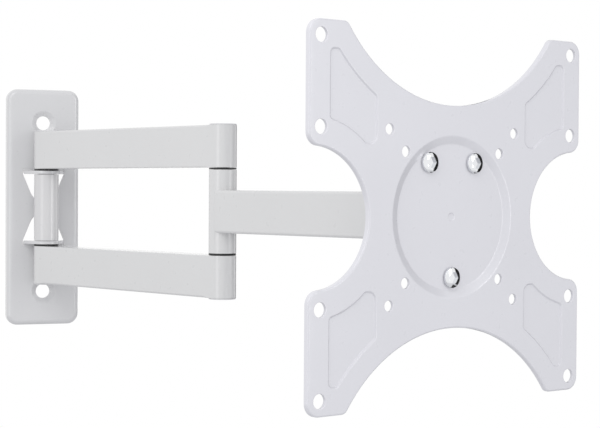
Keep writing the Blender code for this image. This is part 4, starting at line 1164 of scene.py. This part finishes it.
def set_up(item, azimuth, elevation, distance):
    """Stands a lamp or a card round the set and turns it to face the middle; azimuth 0 is the room's side."""
    azimuth, elevation = math.radians(azimuth), math.radians(elevation)
    level = distance * math.cos(elevation)
    offset = Vector((level * math.sin(azimuth), -level * math.cos(azimuth), distance * math.sin(elevation)))
    item.location = SET_MIDDLE + offset
    item.rotation_euler = (-offset).to_track_quat("-Z", "Y").to_euler()


def softbox(name, azimuth, elevation, distance, width, height, power):
    lamp = bpy.data.lights.new(name, "AREA")
    lamp.shape = "RECTANGLE"
    lamp.size = width
    lamp.size_y = height
    lamp.energy = power
    set_up(added(name, lamp), azimuth, elevation, distance)


def card(name, azimuth, elevation, distance, width, height):
    """A black card beside the set, which only shiny surfaces see."""
    bm = bmesh.new()
    bmesh.ops.create_grid(bm, x_segments=1, y_segments=1, size=1 / 2)
    item = solid(bm)
    item.name = name
    item.scale = (width, height, 1)
    set_up(item, azimuth, elevation, distance)
    item.data.materials.append(matt(name, CARD_COLOUR))
    item.visible_camera = False
    item.visible_diffuse = False
    item.visible_shadow = False


def camera():
    """The photograph's camera: to the left of the wall's normal and almost level."""
    turn = Matrix.Rotation(CAMERA_TURN, 3, "Z")
    place = Vector((0, WALL_PIVOT_Y, 0)) - turn @ PIVOT_SEEN * MM
    level = turn @ Vector((1, 0, 0))
    forward = turn @ Vector((0, math.cos(CAMERA_PITCH), math.sin(CAMERA_PITCH)))
    upright = level.cross(forward)
    right = level * math.cos(CAMERA_ROLL) + upright * math.sin(CAMERA_ROLL)
    up = upright * math.cos(CAMERA_ROLL) - level * math.sin(CAMERA_ROLL)
    lens = bpy.data.cameras.new("camera")
    lens.sensor_width = SENSOR_WIDTH
    lens.lens = FOCAL_LENGTH
    item = added("camera", lens)
    axes = Matrix((right, up, -forward)).transposed().to_4x4()
    item.matrix_world = Matrix.Translation(place) @ axes
    bpy.context.scene.camera = item


floor()
world()
# Azimuth and elevation in degrees, then distance, width and height, and a lamp's power
softbox("key", -44, 43, 1.05, 0.7, 0.7, 2.5)
softbox("front", 45, 6, 1.9, 0.36, 1.1, 4.2)
softbox("side", -62, 6, 1.9, 0.7, 1.2, 3.6)
card("card_right", 86, 0, 1.4, 0.78, 2.6)
card("card_above", 72, 44, 1.4, 0.8, 0.7)
card("card_below", 76, -38, 0.75, 0.5, 0.4)
card("card_back", 138, 0, 1.4, 0.7, 1.6)
camera()
bpy.context.scene.view_settings.view_transform = "Standard"
